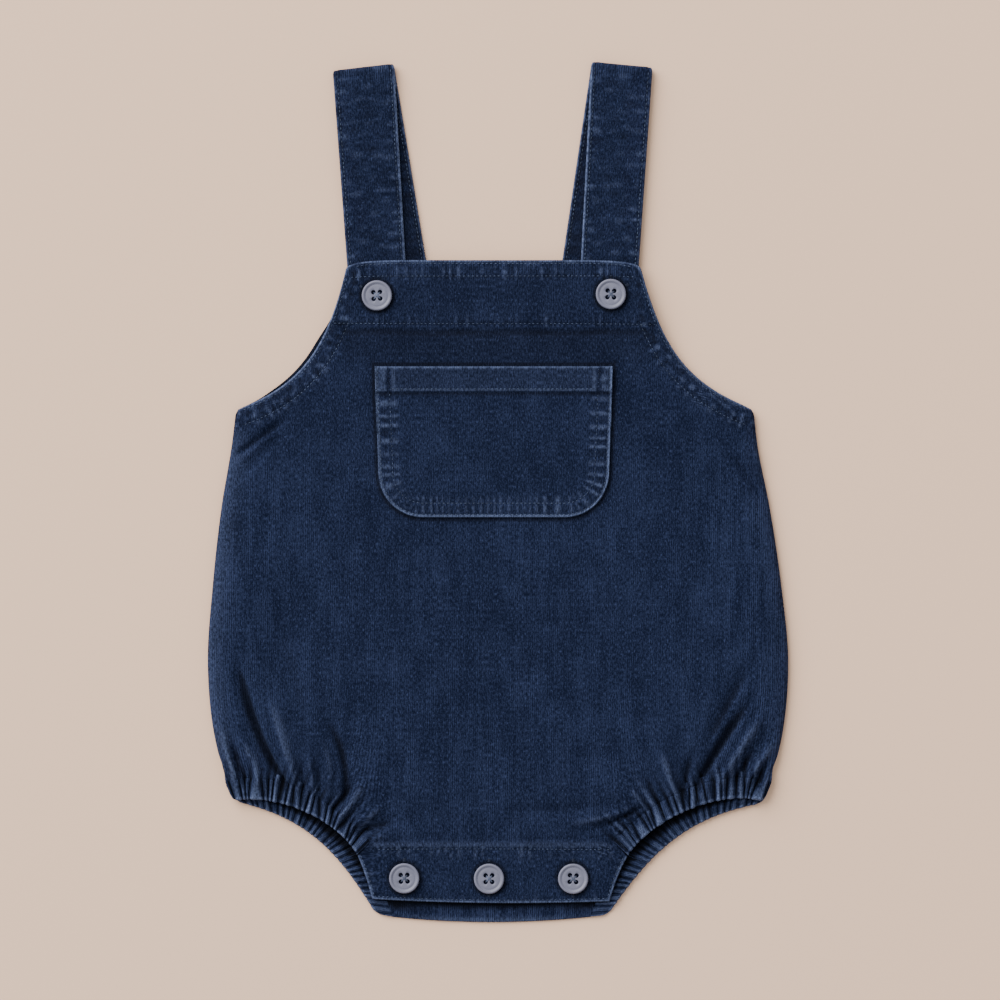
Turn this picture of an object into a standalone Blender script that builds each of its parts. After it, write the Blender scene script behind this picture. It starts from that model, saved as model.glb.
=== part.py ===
"""Baby romper in navy needlecord, laid flat on its back with the front up.

Lengths in the tables are millimetres and MM turns them into metres.
+X is to the right seen from above, +Y points to the straps, +Z up out of the
front, and the origin is on the floor under the middle of the whole garment.
Every cloth piece is a sheet of quads, extruded to a wall whose outer points
carry the bands, folds and gathers over a plain inside.
"""
import math
from collections import namedtuple

import bmesh
import bpy
import numpy as np

MM = 0.001

# Cloth and the gaps between pieces
CLOTH = 1.4             # front panel's wall, needlecord with its turnings
BACK_CLOTH = 1.3        # back panel's wall
POCKET_CLOTH = 1.0
STRAP_CLOTH = 1.8       # strap: cloth folded double
SEAM_GAP = 0.3          # between pieces that are sewn together
SEAM_SLACK = 0.1        # added where a panel's straight chords meet a curve

# Heights of the layers above the floor
STRAP_FOLD_BORE = 0.8   # space inside the fold at the top of a strap
BIB_LEVEL = 4.7         # bib's underside over the front layer of a strap
SIDE_LEVEL = 1.6        # front panel's underside at the side seam
LEG_LEVEL = 2.9         # underside of the front casings and the crotch flap
BIB_SAG = 0.8           # the bib's middle hangs lower between the straps
SAG_FOOT = 84.0         # the sag starts at this height and is whole at SAG_HEAD
SAG_HEAD = 96.0
SAG_MIDDLE = -2.0       # x of its deepest line, which is SAG_FLAT wide each way
SAG_FLAT = 8.0
SAG_REACH = 38.0        # and the sag ends at the straps
EDGE_ROUNDING = 20.0    # reach over which the front rises from its side seam

# Bands where the cloth is faced or hemmed, raised in the outer points
BIB_BAND_FOOT = 84.0    # lower edge of the facing behind the bib's top
BIB_BAND_RISE = 0.6
BAND_STEP = 0.6         # half the reach over which the band's edge rises
BIB_CORNER_RISE = 4.75  # top edge's middle above the top of the armholes
BIB_BOW_FOOT = 95.0     # below this the bib's rows are straight
BIB_BOW_POWER = 8       # a high power keeps the bow flat up to the corners
POCKET_HEM_FOOT = 50.0
POCKET_HEM_RISE = 0.8
HEM_STEP = 0.5          # half the reach over which the pocket's hem rises

# Outline of the body: a side seam's distance from the middle at each height
SideRow = namedtuple("SideRow", "height left right")
ARMHOLE_TOP = 111.0
UNDERARM = 41.5
LEG_CORNER = -145.0
SIDE_SEAMS = (
    SideRow(UNDERARM, -130.8, 127.6),
    SideRow(23.5, -133.0, 129.6),
    SideRow(-6.5, -138.0, 135.5),
    SideRow(-46.5, -142.5, 141.5),
    SideRow(-86.5, -145.0, 145.0),
    SideRow(-116.5, -142.6, 142.8),
    SideRow(LEG_CORNER, -136.2, 136.6),
)

# A curved edge: its two ends, and the direction and reach of its pull at each
Curve = namedtuple("Curve", "x0 y0 angle0 reach0 x1 y1 angle1 reach1")
ARMHOLES = {
    "left": Curve(-76.0, ARMHOLE_TOP, -103.2, 34.7, -130.8, UNDERARM, 18.2, 36.8),
    "right": Curve(71.5, ARMHOLE_TOP, -74.5, 35.8, 127.6, UNDERARM, 159.9, 38.8),
}
Casing = namedtuple("Casing", "inner outer waves level height wave")
CASINGS = {
    "leg_casing_front_left": Casing(
        Curve(-136.2, LEG_CORNER, 14.9, 31.2, -64.0, -175.0, 133.7, 28.3),
        Curve(-132.4, -154.4, 12.1, 20.7, -70.5, -181.0, 120.0, 21.3),
        25, LEG_LEVEL, 2.2, 0.6),
    "leg_casing_front_right": Casing(
        Curve(136.6, LEG_CORNER, 162.5, 29.0, 58.0, -175.0, 51.4, 27.0),
        Curve(132.8, -154.6, 162.9, 22.5, 65.0, -181.4, 56.9, 21.7),
        25, LEG_LEVEL, 2.2, 0.6),
    "leg_casing_back_left": Casing(
        Curve(-135.8, -147.0, -4.1, 42.0, -52.8, -212.2, 107.9, 35.7),
        Curve(-131.0, -154.8, -12.7, 37.0, -61.2, -210.8, 121.1, 35.4),
        27, 0.0, 2.0, 0.5),
    "leg_casing_back_right": Casing(
        Curve(135.6, -147.0, 184.1, 42.0, 46.4, -212.2, 72.1, 36.5),
        Curve(132.4, -155.6, 189.8, 39.4, 55.0, -211.4, 55.8, 36.5),
        27, 0.0, 2.0, 0.5),
}
WAVE_STEPS = 4          # points along one gather

# A casing's section: points across it, with the share of its height and of
# its gathers' height at each
CasingPoint = namedtuple("CasingPoint", "across crown gather")
CASING_SECTION = (
    CasingPoint(0.0, 0.55, 0.55),
    CasingPoint(0.3, 1.0, 1.0),
    CasingPoint(0.72, 1.0, 0.9),
    CasingPoint(1.0, 0.55, 0.45),
)
PITCH_DRIFT = 0.35      # how far a gather strays from its place, in radians
PITCH_TURNS = 3.3       # and how many times the drift swings along a casing
SWELL = 0.25            # how much the gathers' height varies
SWELL_TURNS = 2.2

# Crotch flap: its side edges from the casings down to its hem
FlapRow = namedtuple("FlapRow", "left left_height right right_height")
FLAP_ROWS = (
    FlapRow(-70.1, -181.6, 64.6, -182.0),
    FlapRow(-68.0, -186.6, 61.9, -187.0),
    FlapRow(-65.4, -194.0, 58.8, -194.5),
    FlapRow(-62.8, -203.3, 55.6, -204.4),
)
FLAP_HEM_BOW = 1.4

# Front panel's grid
LEG_COLUMNS = 14
FLAP_COLUMNS = 10
RowZone = namedtuple("RowZone", "top bottom rows")
FRONT_ZONES = (
    RowZone(ARMHOLE_TOP, 84.6, 5),
    RowZone(84.6, 83.4, 1),
    RowZone(83.4, UNDERARM, 7),
    RowZone(UNDERARM, -95.0, 14),
    RowZone(-95.0, LEG_CORNER, 12),
)
BOW_START = 30.0        # below this the rows bend towards the leg openings

# Fullness of the front over its side seams, from the bib down to the flap
FullRow = namedtuple("FullRow", "height level fullness")
FULLNESS = (
    FullRow(116.0, BIB_LEVEL, 0.0),
    FullRow(86.0, BIB_LEVEL, 0.0),
    FullRow(58.0, 1.9, 1.9),
    FullRow(20.0, SIDE_LEVEL, 2.7),
    FullRow(-60.0, SIDE_LEVEL, 3.3),
    FullRow(-118.0, SIDE_LEVEL, 3.4),
    FullRow(-146.0, LEG_LEVEL, 2.1),
    FullRow(-170.0, LEG_LEVEL, 0.9),
    FullRow(-182.0, LEG_LEVEL, 0.0),
    FullRow(-206.0, LEG_LEVEL, 0.0),
)

# Largest folds, running into the leg casings: ridges are high, troughs low
Fold = namedtuple("Fold", "x0 y0 x1 y1 x2 y2 width height")
FOLDS = (
    Fold(-125.0, -105.0, -118.0, -123.0, -106.0, -142.0, 5.0, -1.9),
    Fold(-116.0, -112.0, -108.0, -131.0, -101.0, -145.0, 4.5, 1.4),
    Fold(-141.0, -117.0, -136.0, -132.0, -131.0, -143.0, 4.5, 0.9),
    Fold(-83.0, -128.0, -80.0, -142.0, -91.0, -155.0, 5.0, 1.1),
    Fold(-76.0, -122.0, -72.0, -139.0, -82.0, -156.0, 5.0, -1.0),
    Fold(-69.0, -147.0, -74.0, -158.0, -82.0, -165.0, 4.5, 0.8),
    Fold(118.0, -112.0, 106.0, -129.0, 99.0, -146.0, 5.0, -1.7),
    Fold(127.0, -119.0, 116.0, -133.0, 108.0, -144.0, 4.5, 1.3),
    Fold(139.0, -124.0, 132.0, -134.0, 124.0, -142.0, 4.5, 0.9),
    Fold(70.0, -138.0, 73.0, -150.0, 79.0, -159.0, 5.0, 0.9),
    Fold(84.0, -128.0, 88.0, -141.0, 90.0, -151.0, 5.0, -0.8),
    Fold(50.0, -170.0, 58.0, -166.0, 68.0, -164.0, 4.5, -0.7),
)
FOLD_POINTS = 25        # points along a fold's curve
FOLD_START = 0.12       # the part of a half sine wave that a fold's height takes
FOLD_SPAN = 0.80
FOLD_TAPER = 0.8        # power that keeps its ends from thinning too soon
FOLD_AT_SIDE = 0.3      # share of a fold's height that is left at the side seam

# Back panel
BACK_TOP = 96.0
BACK_HEM = -212.4
BACK_HEM_BOW = 2.6
BACK_ARMHOLE_SHOW = 0.3     # the back's armhole stands out past the front's
BACK_SHOW_SPAN = 60.0       # over this height above the underarm
BACK_HEM_COLUMNS = 6
BACK_ARMHOLE_ROWS = 8
BACK_BODY_ROWS = 13

# Patch pocket
POCKET_TOP = 62.7
POCKET_FOOT = -12.7
POCKET_MIDDLE = -2.1
POCKET_HALF_TOP = 59.3
POCKET_HALF_FOOT = 57.4
POCKET_CORNER = 22.0
CORNER_STEPS = 5
POCKET_STEPS = 6
POCKET_ROWS = 5         # rows of the pocket below its hem
POCKET_HEM_ROW = 6.0    # the hem's own row, below the top

# Straps: edges of each layer where it starts and where it folds at the top
StrapEdge = namedtuple("StrapEdge", "left left_height right right_height")
Strap = namedtuple("Strap", "back_end fold front_end")
STRAPS = {
    "strap_left": Strap(
        StrapEdge(-62.8, 96.4, -32.8, 96.4),
        StrapEdge(-82.4, 208.3, -51.7, 211.8),
        StrapEdge(-73.4, 86.5, -44.6, 86.5)),
    "strap_right": Strap(
        StrapEdge(29.3, 96.4, 59.3, 96.4),
        StrapEdge(46.5, 212.8, 77.1, 209.9),
        StrapEdge(39.9, 86.5, 68.5, 86.5)),
}
STRAP_LAYER_ROWS = 6
STRAP_FOLD_ROWS = 6
STRAP_EDGE_ROUNDING = 0.35
STRAP_EDGE_SHARE = 0.09     # share of the width that each rounded edge takes

# Buttons: four-hole, with a raised rim, on the bib and on the crotch flap
ButtonPlace = namedtuple("ButtonPlace", "x y")
BUTTONS = {
    "button_bib_left": ButtonPlace(-60.4, 98.0),
    "button_bib_right": ButtonPlace(56.3, 98.7),
    "button_crotch_left": ButtonPlace(-46.8, -192.8),
    "button_crotch_middle": ButtonPlace(-4.5, -193.0),
    "button_crotch_right": ButtonPlace(37.5, -193.0),
}
BUTTON_RADIUS = 7.6
BUTTON_THICKNESS = 2.4
BUTTON_RIM = 1.9            # rim's width
BUTTON_DISH = 0.8           # depth of the dished middle below the rim
BUTTON_SLOPE = 0.5          # half the reach over which the rim rises from it
BUTTON_TOP_ROUND = 0.65     # rounding of the outer edge, on top
BUTTON_FOOT_IN = 0.9        # how far the underside is drawn in, over BUTTON_FOOT
BUTTON_FOOT = 0.5
BUTTON_HOLE_RADIUS = 1.0
BUTTON_HOLE_SPREAD = 1.65   # a hole's distance from the middle in x and in y
BUTTON_SIDES = 24
PEG_SIDES = 8

NAVY = (0.016, 0.031, 0.077)
BUTTON_GREY = (0.23, 0.24, 0.31)


# ---------------------------------------------------------------- numbers

def bezier(curve, steps):
    """Points of a cubic curve from its ends and its pulls, as (steps + 1, 2)."""
    start = np.array([curve.x0, curve.y0])
    end = np.array([curve.x1, curve.y1])
    turn0 = math.radians(curve.angle0)
    turn1 = math.radians(curve.angle1)
    pull0 = start + curve.reach0 * np.array([math.cos(turn0), math.sin(turn0)])
    pull1 = end + curve.reach1 * np.array([math.cos(turn1), math.sin(turn1)])
    t = np.linspace(0.0, 1.0, steps + 1)[:, None]
    return ((1 - t) ** 3 * start + 3 * t * (1 - t) ** 2 * pull0
            + 3 * t ** 2 * (1 - t) * pull1 + t ** 3 * end)


def ease(x, low, high):
    """0 below low, 1 above high, with a soft start and end between them."""
    t = np.clip((x - low) / (high - low), 0.0, 1.0)
    return t * t * (3 - 2 * t)


def through_rows(y, rows, column):
    """A table's column at height y, eased from row to row."""
    value = np.full_like(y, getattr(rows[0], column))
    for above, below in zip(rows, rows[1:]):
        share = 1 - ease(y, below.height, above.height)
        step = getattr(below, column) - getattr(above, column)
        value = value + step * share
    return value


def smooth_side(y, side):
    """Side seam's x at heights y: a cubic through the rows of SIDE_SEAMS."""
    heights = np.array([row.height for row in SIDE_SEAMS])[::-1]
    places = np.array([getattr(row, side) for row in SIDE_SEAMS])[::-1]
    slopes = np.gradient(places, heights)
    i = np.clip(np.searchsorted(heights, y) - 1, 0, len(heights) - 2)
    span = heights[i + 1] - heights[i]
    t = np.clip((y - heights[i]) / span, 0.0, 1.0)
    return ((2 * t ** 3 - 3 * t ** 2 + 1) * places[i]
            + (t ** 3 - 2 * t ** 2 + t) * span * slopes[i]
            + (3 * t ** 2 - 2 * t ** 3) * places[i + 1]
            + (t ** 3 - t ** 2) * span * slopes[i + 1])


def body_edge(y, side):
    """Body's outline at heights y: the armhole above, the side seam below."""
    armhole = bezier(ARMHOLES[side], 60)[::-1]
    above = np.interp(y, armhole[:, 1], armhole[:, 0])
    return np.where(y > UNDERARM, above, smooth_side(y, side))


# ------------------------------------------------------- form of the front

def fold_height(x, y):
    """Sum of the folds: each a soft ridge along its curve, thin at both ends."""
    total = np.zeros_like(x)
    t = np.linspace(0.0, 1.0, FOLD_POINTS)
    for fold in FOLDS:
        line_x = (1 - t) ** 2 * fold.x0 + 2 * t * (1 - t) * fold.x1 + t ** 2 * fold.x2
        line_y = (1 - t) ** 2 * fold.y0 + 2 * t * (1 - t) * fold.y1 + t ** 2 * fold.y2
        apart = np.hypot(x[..., None] - line_x, y[..., None] - line_y)
        nearest = apart.argmin(axis=-1)
        taper = np.sin(math.pi * (FOLD_START + FOLD_SPAN * t[nearest])) ** FOLD_TAPER
        total += fold.height * taper * np.exp(-(apart.min(axis=-1) / fold.width) ** 2)
    return total


def front_inside(x, y):
    """Underside of the front over the floor: its level, fullness and folds."""
    level = through_rows(y, FULLNESS, "level")
    fullness = through_rows(y, FULLNESS, "fullness")
    from_side = np.minimum(x - body_edge(y, "left"), body_edge(y, "right") - x)
    reach = np.clip(from_side / EDGE_ROUNDING, 0.0, 1.0)
    rise = np.sqrt(1 - (1 - reach) ** 2)
    off_middle = np.abs(x - SAG_MIDDLE)
    sag = BIB_SAG * ease(y, SAG_FOOT, SAG_HEAD) * (1 - ease(off_middle, SAG_FLAT, SAG_REACH))
    folds = fold_height(x, y) * (FOLD_AT_SIDE + (1 - FOLD_AT_SIDE) * rise)
    return level + fullness * rise - sag + folds


def front_outside(x, y):
    """Top of the front: one wall over its underside, thicker at the bib's band."""
    band = BIB_BAND_RISE * ease(y, BIB_BAND_FOOT - BAND_STEP, BIB_BAND_FOOT + BAND_STEP)
    return front_inside(x, y) + CLOTH + band


def zone_heights(zones):
    heights = [zones[0].top]
    for zone in zones:
        step = (zone.bottom - zone.top) / zone.rows
        heights += [zone.top + step * (k + 1) for k in range(zone.rows)]
    return np.array(heights)


def leg_edges(front_or_back, columns):
    """A panel's edges along its two casings, a seam's gap inside them.

    The left one runs from the side to the crotch, the right one back out.
    """
    edges = []
    for side in ("left", "right"):
        curve = CASINGS[f"leg_casing_{front_or_back}_{side}"].inner
        edge = bezier(curve, columns)[::1 if side == "left" else -1]
        along = np.gradient(edge, axis=0)
        along /= np.hypot(along[:, 0], along[:, 1])[:, None]
        inward = np.stack([-along[:, 1], along[:, 0]], axis=1)
        edges.append(edge + (SEAM_GAP + SEAM_SLACK) * inward)
    return edges


def panel_plan(heights, foot, columns_across):
    """Plan of a panel: level rows that bend down to the leg and crotch edge.

    Returns x and y as (rows, columns). A row starts as a straight line from
    side to side, and takes up the foot's shape by the square of its way down.
    """
    share = columns_across
    left = body_edge(heights, "left")[:, None]
    right = body_edge(heights, "right")[:, None]
    bend = (np.clip((BOW_START - heights) / (BOW_START - heights[-1]), 0, 1) ** 2)[:, None]
    x = left + (right - left) * share
    y = np.repeat(heights[:, None], len(share), axis=1)
    x = x + bend * (foot[:, 0] - x[-1])
    y = y + bend * (foot[:, 1] - y[-1])
    return x, y


def front_plan():
    """Plan of the front with the crotch flap's rows under its middle."""
    left, right = leg_edges("front", LEG_COLUMNS)
    flap_top = np.linspace(left[-1], right[0], FLAP_COLUMNS + 1)
    foot = np.vstack([left, flap_top[1:-1], right])
    share = np.linspace(0.0, 1.0, len(foot))
    heights = zone_heights(FRONT_ZONES)
    x, y = panel_plan(heights, foot, share)

    bow = np.sqrt(1 - np.abs(2 * share - 1) ** BIB_BOW_POWER)
    near_top = np.clip((heights - BIB_BOW_FOOT) / (ARMHOLE_TOP - BIB_BOW_FOOT), 0.0, 1.0)[:, None]
    y = y + BIB_CORNER_RISE * near_top * bow

    across = np.clip((share * (len(foot) - 1) - LEG_COLUMNS) / FLAP_COLUMNS, 0.0, 1.0)
    for k, row in enumerate(FLAP_ROWS):
        sag = FLAP_HEM_BOW * 4 * across * (1 - across) * (k + 1) / len(FLAP_ROWS)
        x = np.vstack([x, row.left + (row.right - row.left) * across])
        y_row = row.left_height + (row.right_height - row.left_height) * across - sag
        y = np.vstack([y, y_row])
    return x, y, len(heights)


# ------------------------------------------------------------------ meshes

def cloth_wall(name, inner, outer, keep=None, flat_inside=False):
    """A closed wall from two matching grids of points, inner and outer.

    A plain grid takes the inner points, and its extruded copy the outer ones.
    keep says which of the grid's faces belong to the piece.
    """
    rows, columns = inner.shape[:2]
    mesh_data = bmesh.new()
    bmesh.ops.create_grid(mesh_data, x_segments=columns - 1, y_segments=rows - 1, size=1.0)

    def place(co):
        column = round((co.x + 1) / 2 * (columns - 1))
        return round((1 - co.y) / 2 * (rows - 1)), column

    if keep is not None:
        spare = []
        for face in mesh_data.faces:
            row, column = np.min([place(vert.co) for vert in face.verts], axis=0)
            if not keep[row, column]:
                spare.append(face)
        bmesh.ops.delete(mesh_data, geom=spare, context="FACES")
    copied = bmesh.ops.extrude_face_region(mesh_data, geom=mesh_data.faces[:])["geom"]
    outside = {item for item in copied if isinstance(item, bmesh.types.BMVert)}
    for vert in mesh_data.verts:
        points = outer if vert in outside else inner
        vert.co = points[place(vert.co)] * MM
    bmesh.ops.recalc_face_normals(mesh_data, faces=mesh_data.faces[:])
    if mesh_data.calc_volume(signed=True) < 0:
        bmesh.ops.reverse_faces(mesh_data, faces=mesh_data.faces[:])
    if flat_inside:
        under = [face for face in mesh_data.faces if face.normal.z < -0.999]
        verts = {vert for face in under for vert in face.verts}
        edges = {edge for face in under for edge in face.edges}
        bmesh.ops.dissolve_limit(mesh_data, angle_limit=0.001, verts=list(verts),
                                 edges=list(edges))
    return finish_mesh(name, mesh_data)


def finish_mesh(name, mesh_data):
    mesh = bpy.data.meshes.new(name)
    mesh_data.to_mesh(mesh)
    mesh_data.free()
    mesh.shade_smooth()
    mesh.set_sharp_from_angle(angle=math.radians(50))
    return mesh


def principled(name, colour, roughness, sheen):
    material = bpy.data.materials.new(name)
    material.use_nodes = True
    shader = material.node_tree.nodes["Principled BSDF"]
    shader.inputs["Base Color"].default_value = (*colour, 1.0)
    shader.inputs["Roughness"].default_value = roughness
    shader.inputs["Metallic"].default_value = 0.0
    shader.inputs["Sheen Weight"].default_value = sheen
    return material


def add_part(name, mesh, collection, parent, colour, roughness, sheen=0.0):
    part = bpy.data.objects.new(name, mesh)
    part.data.materials.clear()
    part.data.materials.append(principled(name + "_finish", colour, roughness, sheen))
    part.parent = parent
    collection.objects.link(part)
    return part


# ------------------------------------------------------------- cloth pieces

def front_panel_mesh():
    x, y, body_rows = front_plan()
    inner = np.stack([x, y, front_inside(x, y)], axis=-1)
    outer = np.stack([x, y, front_outside(x, y)], axis=-1)
    keep = np.zeros((x.shape[0] - 1, x.shape[1] - 1), dtype=bool)
    keep[:body_rows - 1] = True
    keep[body_rows - 1:, LEG_COLUMNS:LEG_COLUMNS + FLAP_COLUMNS] = True
    return cloth_wall("front_panel", inner, outer, keep)


def back_panel_mesh():
    """Back: the front's outline from the strap ends down, flat on the floor."""
    left, right = leg_edges("back", LEG_COLUMNS)
    across = np.linspace(0.0, 1.0, BACK_HEM_COLUMNS + 1)
    hem_x = left[-1, 0] + (right[0, 0] - left[-1, 0]) * across
    hem_y = BACK_HEM - BACK_HEM_BOW * 4 * across * (1 - across)
    hem = np.stack([hem_x, hem_y], axis=1)
    foot = np.vstack([left[:-1], hem, right[1:]])
    heights = zone_heights((RowZone(BACK_TOP, UNDERARM, BACK_ARMHOLE_ROWS),
                            RowZone(UNDERARM, left[0, 1], BACK_BODY_ROWS)))
    share = np.linspace(0.0, 1.0, len(foot))
    x, y = panel_plan(heights, foot, share)
    show = BACK_ARMHOLE_SHOW * np.sin(math.pi * np.clip((y - UNDERARM) / BACK_SHOW_SPAN, 0, 1))
    x = x + show * (2 * share - 1)
    inner = np.stack([x, y, np.zeros_like(x)], axis=-1)
    outer = np.stack([x, y, np.full_like(x, BACK_CLOTH)], axis=-1)
    return cloth_wall("back_panel", inner, outer, flat_inside=True)


def casing_mesh(name, casing):
    """A leg casing: a flat tube of cloth round elastic, gathered along its run.

    The gathers are waves in the top points. Their pitch drifts slowly, and
    their height swells and fades, as the elastic draws the cloth unevenly.
    """
    steps = casing.waves * WAVE_STEPS
    run = np.linspace(0.0, 1.0, steps + 1)[:, None]
    inner_edge = bezier(casing.inner, steps)
    outer_edge = bezier(casing.outer, steps)
    across, crown, gather = np.array(CASING_SECTION).T
    x = inner_edge[:, :1] + (outer_edge[:, :1] - inner_edge[:, :1]) * across
    y = inner_edge[:, 1:] + (outer_edge[:, 1:] - inner_edge[:, 1:]) * across
    drift = PITCH_DRIFT * np.sin(2 * math.pi * PITCH_TURNS * run + across)
    swell = 1 - SWELL + SWELL * np.sin(2 * math.pi * SWELL_TURNS * run + 1.0)
    wave = np.cos(2 * math.pi * (casing.waves * run) + drift) * swell
    top = casing.level + casing.height * crown + casing.wave * gather * wave
    under = np.full_like(x, casing.level)
    inner = np.stack([x, y, under], axis=-1)
    outer = np.stack([x, y, top], axis=-1)
    return cloth_wall(name, inner, outer, flat_inside=True)


def pocket_columns():
    """Columns of the pocket: half width from its middle, and how far each
    column's foot is lifted by the round corner."""
    angle = np.linspace(0.0, math.pi / 2, CORNER_STEPS + 1)
    straight = POCKET_HALF_FOOT - POCKET_CORNER
    corner_x = straight + POCKET_CORNER * np.sin(angle)
    corner_lift = POCKET_CORNER * (1 - np.cos(angle))
    middle = np.linspace(-straight, straight, POCKET_STEPS + 1)[1:-1]
    across = np.concatenate([-corner_x[::-1], middle, corner_x])
    lift = np.concatenate([corner_lift[::-1], np.zeros_like(middle), corner_lift])
    return across, lift


def pocket_mesh():
    across, lift = pocket_columns()
    foot = POCKET_FOOT + lift
    hem_rows = [POCKET_TOP, POCKET_TOP - POCKET_HEM_ROW, POCKET_HEM_FOOT + HEM_STEP,
                POCKET_HEM_FOOT - HEM_STEP]
    rows = [np.full_like(across, height) for height in hem_rows]
    hem_foot = rows[-1]
    for share in np.linspace(0.0, 1.0, POCKET_ROWS + 1)[1:]:
        rows.append(hem_foot + (foot - hem_foot) * share)
    y = np.array(rows)
    widen = 1 + (POCKET_HALF_TOP / POCKET_HALF_FOOT - 1) * ease(y, 0.0, POCKET_TOP)
    x = POCKET_MIDDLE + across * widen
    under = front_outside(x, y) + SEAM_GAP
    hem = POCKET_HEM_RISE * ease(y, POCKET_HEM_FOOT - HEM_STEP, POCKET_HEM_FOOT + HEM_STEP)
    inner = np.stack([x, y, under], axis=-1)
    outer = np.stack([x, y, under + POCKET_CLOTH + hem], axis=-1)
    return cloth_wall("pocket", inner, outer)


def edge_points(edge, other, share):
    """Left and right points of a strap's rows between two of its edges."""
    start = np.array([[edge.left, edge.left_height], [edge.right, edge.right_height]])
    end = np.array([[other.left, other.left_height], [other.right, other.right_height]])
    return start + (end - start) * share[:, None, None]


def strap_mesh(name, strap):
    """A strap: up the back layer, round the fold, down the front layer."""
    fold_radius = (STRAP_CLOTH + STRAP_FOLD_BORE) / 2
    up = edge_points(strap.back_end, strap.fold, np.linspace(0, 1, STRAP_LAYER_ROWS + 1))
    down = edge_points(strap.fold, strap.front_end, np.linspace(0, 1, STRAP_LAYER_ROWS + 1))
    turn = np.radians(np.linspace(-90.0, 90.0, STRAP_FOLD_ROWS + 1))
    fold_rows = np.repeat(up[-1:], STRAP_FOLD_ROWS - 1, axis=0)
    ends = np.concatenate([up, fold_rows, down])
    turns = np.concatenate([np.full(STRAP_LAYER_ROWS, turn[0]), turn,
                            np.full(STRAP_LAYER_ROWS, turn[-1])])
    fold_line = ends[STRAP_LAYER_ROWS][1] - ends[STRAP_LAYER_ROWS][0]
    outward = np.array([-fold_line[1], fold_line[0], 0.0]) / np.hypot(*fold_line)
    normal = np.cos(turns)[:, None] * outward + np.sin(turns)[:, None] * [0, 0, 1]

    across = np.array([0.0, STRAP_EDGE_SHARE, 1 - STRAP_EDGE_SHARE, 1.0])
    plan = ends[:, None, 0] + (ends[:, None, 1] - ends[:, None, 0]) * across[:, None]
    axis_height = STRAP_CLOTH + STRAP_FOLD_BORE / 2
    axis = np.concatenate([plan, np.full(plan.shape[:2] + (1,), axis_height)], axis=-1)
    inner = axis + normal[:, None] * (STRAP_FOLD_BORE / 2)
    thickness = np.full(plan.shape[:2], STRAP_CLOTH)
    thickness[turns > 0.1, 0] -= STRAP_EDGE_ROUNDING
    thickness[turns > 0.1, -1] -= STRAP_EDGE_ROUNDING
    outer = inner + normal[:, None] * thickness[..., None]
    return cloth_wall(name, inner, outer)


# ------------------------------------------------------------------ buttons

def button_profile():
    """Half section of a button, from its middle on top round to its underside."""
    radius, top = BUTTON_RADIUS, BUTTON_THICKNESS
    dish = top - BUTTON_DISH
    rim = radius - BUTTON_RIM
    return ((0.0, dish), (rim - BUTTON_SLOPE, dish), (rim + BUTTON_SLOPE, top),
            (radius - BUTTON_TOP_ROUND, top), (radius, top - BUTTON_TOP_ROUND),
            (radius, BUTTON_FOOT), (radius - BUTTON_FOOT_IN, 0.0), (0.0, 0.0))


def button_blank():
    """The turned disc: the half section carried round by a Screw."""
    mesh = bpy.data.meshes.new("button_profile")
    points = [(r * MM, 0.0, z * MM) for r, z in button_profile()]
    mesh.from_pydata(points, [(k, k + 1) for k in range(len(points) - 1)], [])
    blank = bpy.data.objects.new("button_blank", mesh)
    turned = blank.modifiers.new("turned", "SCREW")
    turned.steps = turned.render_steps = BUTTON_SIDES
    turned.use_merge_vertices = True
    turned.merge_threshold = 0.00001
    return blank


def hole_cutter(collection):
    """Four pegs that cut a button's holes."""
    pegs = bmesh.new()
    for side in (-1, 1):
        for end in (-1, 1):
            peg = bmesh.ops.create_cone(
                pegs, cap_ends=True, segments=PEG_SIDES, radius1=BUTTON_HOLE_RADIUS * MM,
                radius2=BUTTON_HOLE_RADIUS * MM, depth=4 * BUTTON_THICKNESS * MM)
            shift = (side * BUTTON_HOLE_SPREAD * MM, end * BUTTON_HOLE_SPREAD * MM, 0.0)
            bmesh.ops.translate(pegs, verts=peg["verts"], vec=shift)
    mesh = bpy.data.meshes.new("button_holes")
    pegs.to_mesh(mesh)
    pegs.free()
    cutter = bpy.data.objects.new("button_holes", mesh)
    cutter.hide_render = True
    cutter.display_type = "WIRE"
    collection.objects.link(cutter)
    return cutter


def button_mesh(parts, cutters):
    """One pierced button, which all five share."""
    blank = button_blank()
    parts.objects.link(blank)
    pierced = blank.modifiers.new("holes", "BOOLEAN")
    pierced.operation = "DIFFERENCE"
    pierced.object = hole_cutter(cutters)
    depsgraph = bpy.context.evaluated_depsgraph_get()
    mesh = bpy.data.meshes.new_from_object(blank.evaluated_get(depsgraph))
    mesh.name = "button"
    bpy.data.objects.remove(blank)
    mesh.shade_smooth()
    mesh.set_sharp_from_angle(angle=math.radians(40))
    return mesh


# ----------------------------------------------------------------- assembly

def clear_scene():
    for thing in list(bpy.data.objects):
        bpy.data.objects.remove(thing)


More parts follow.
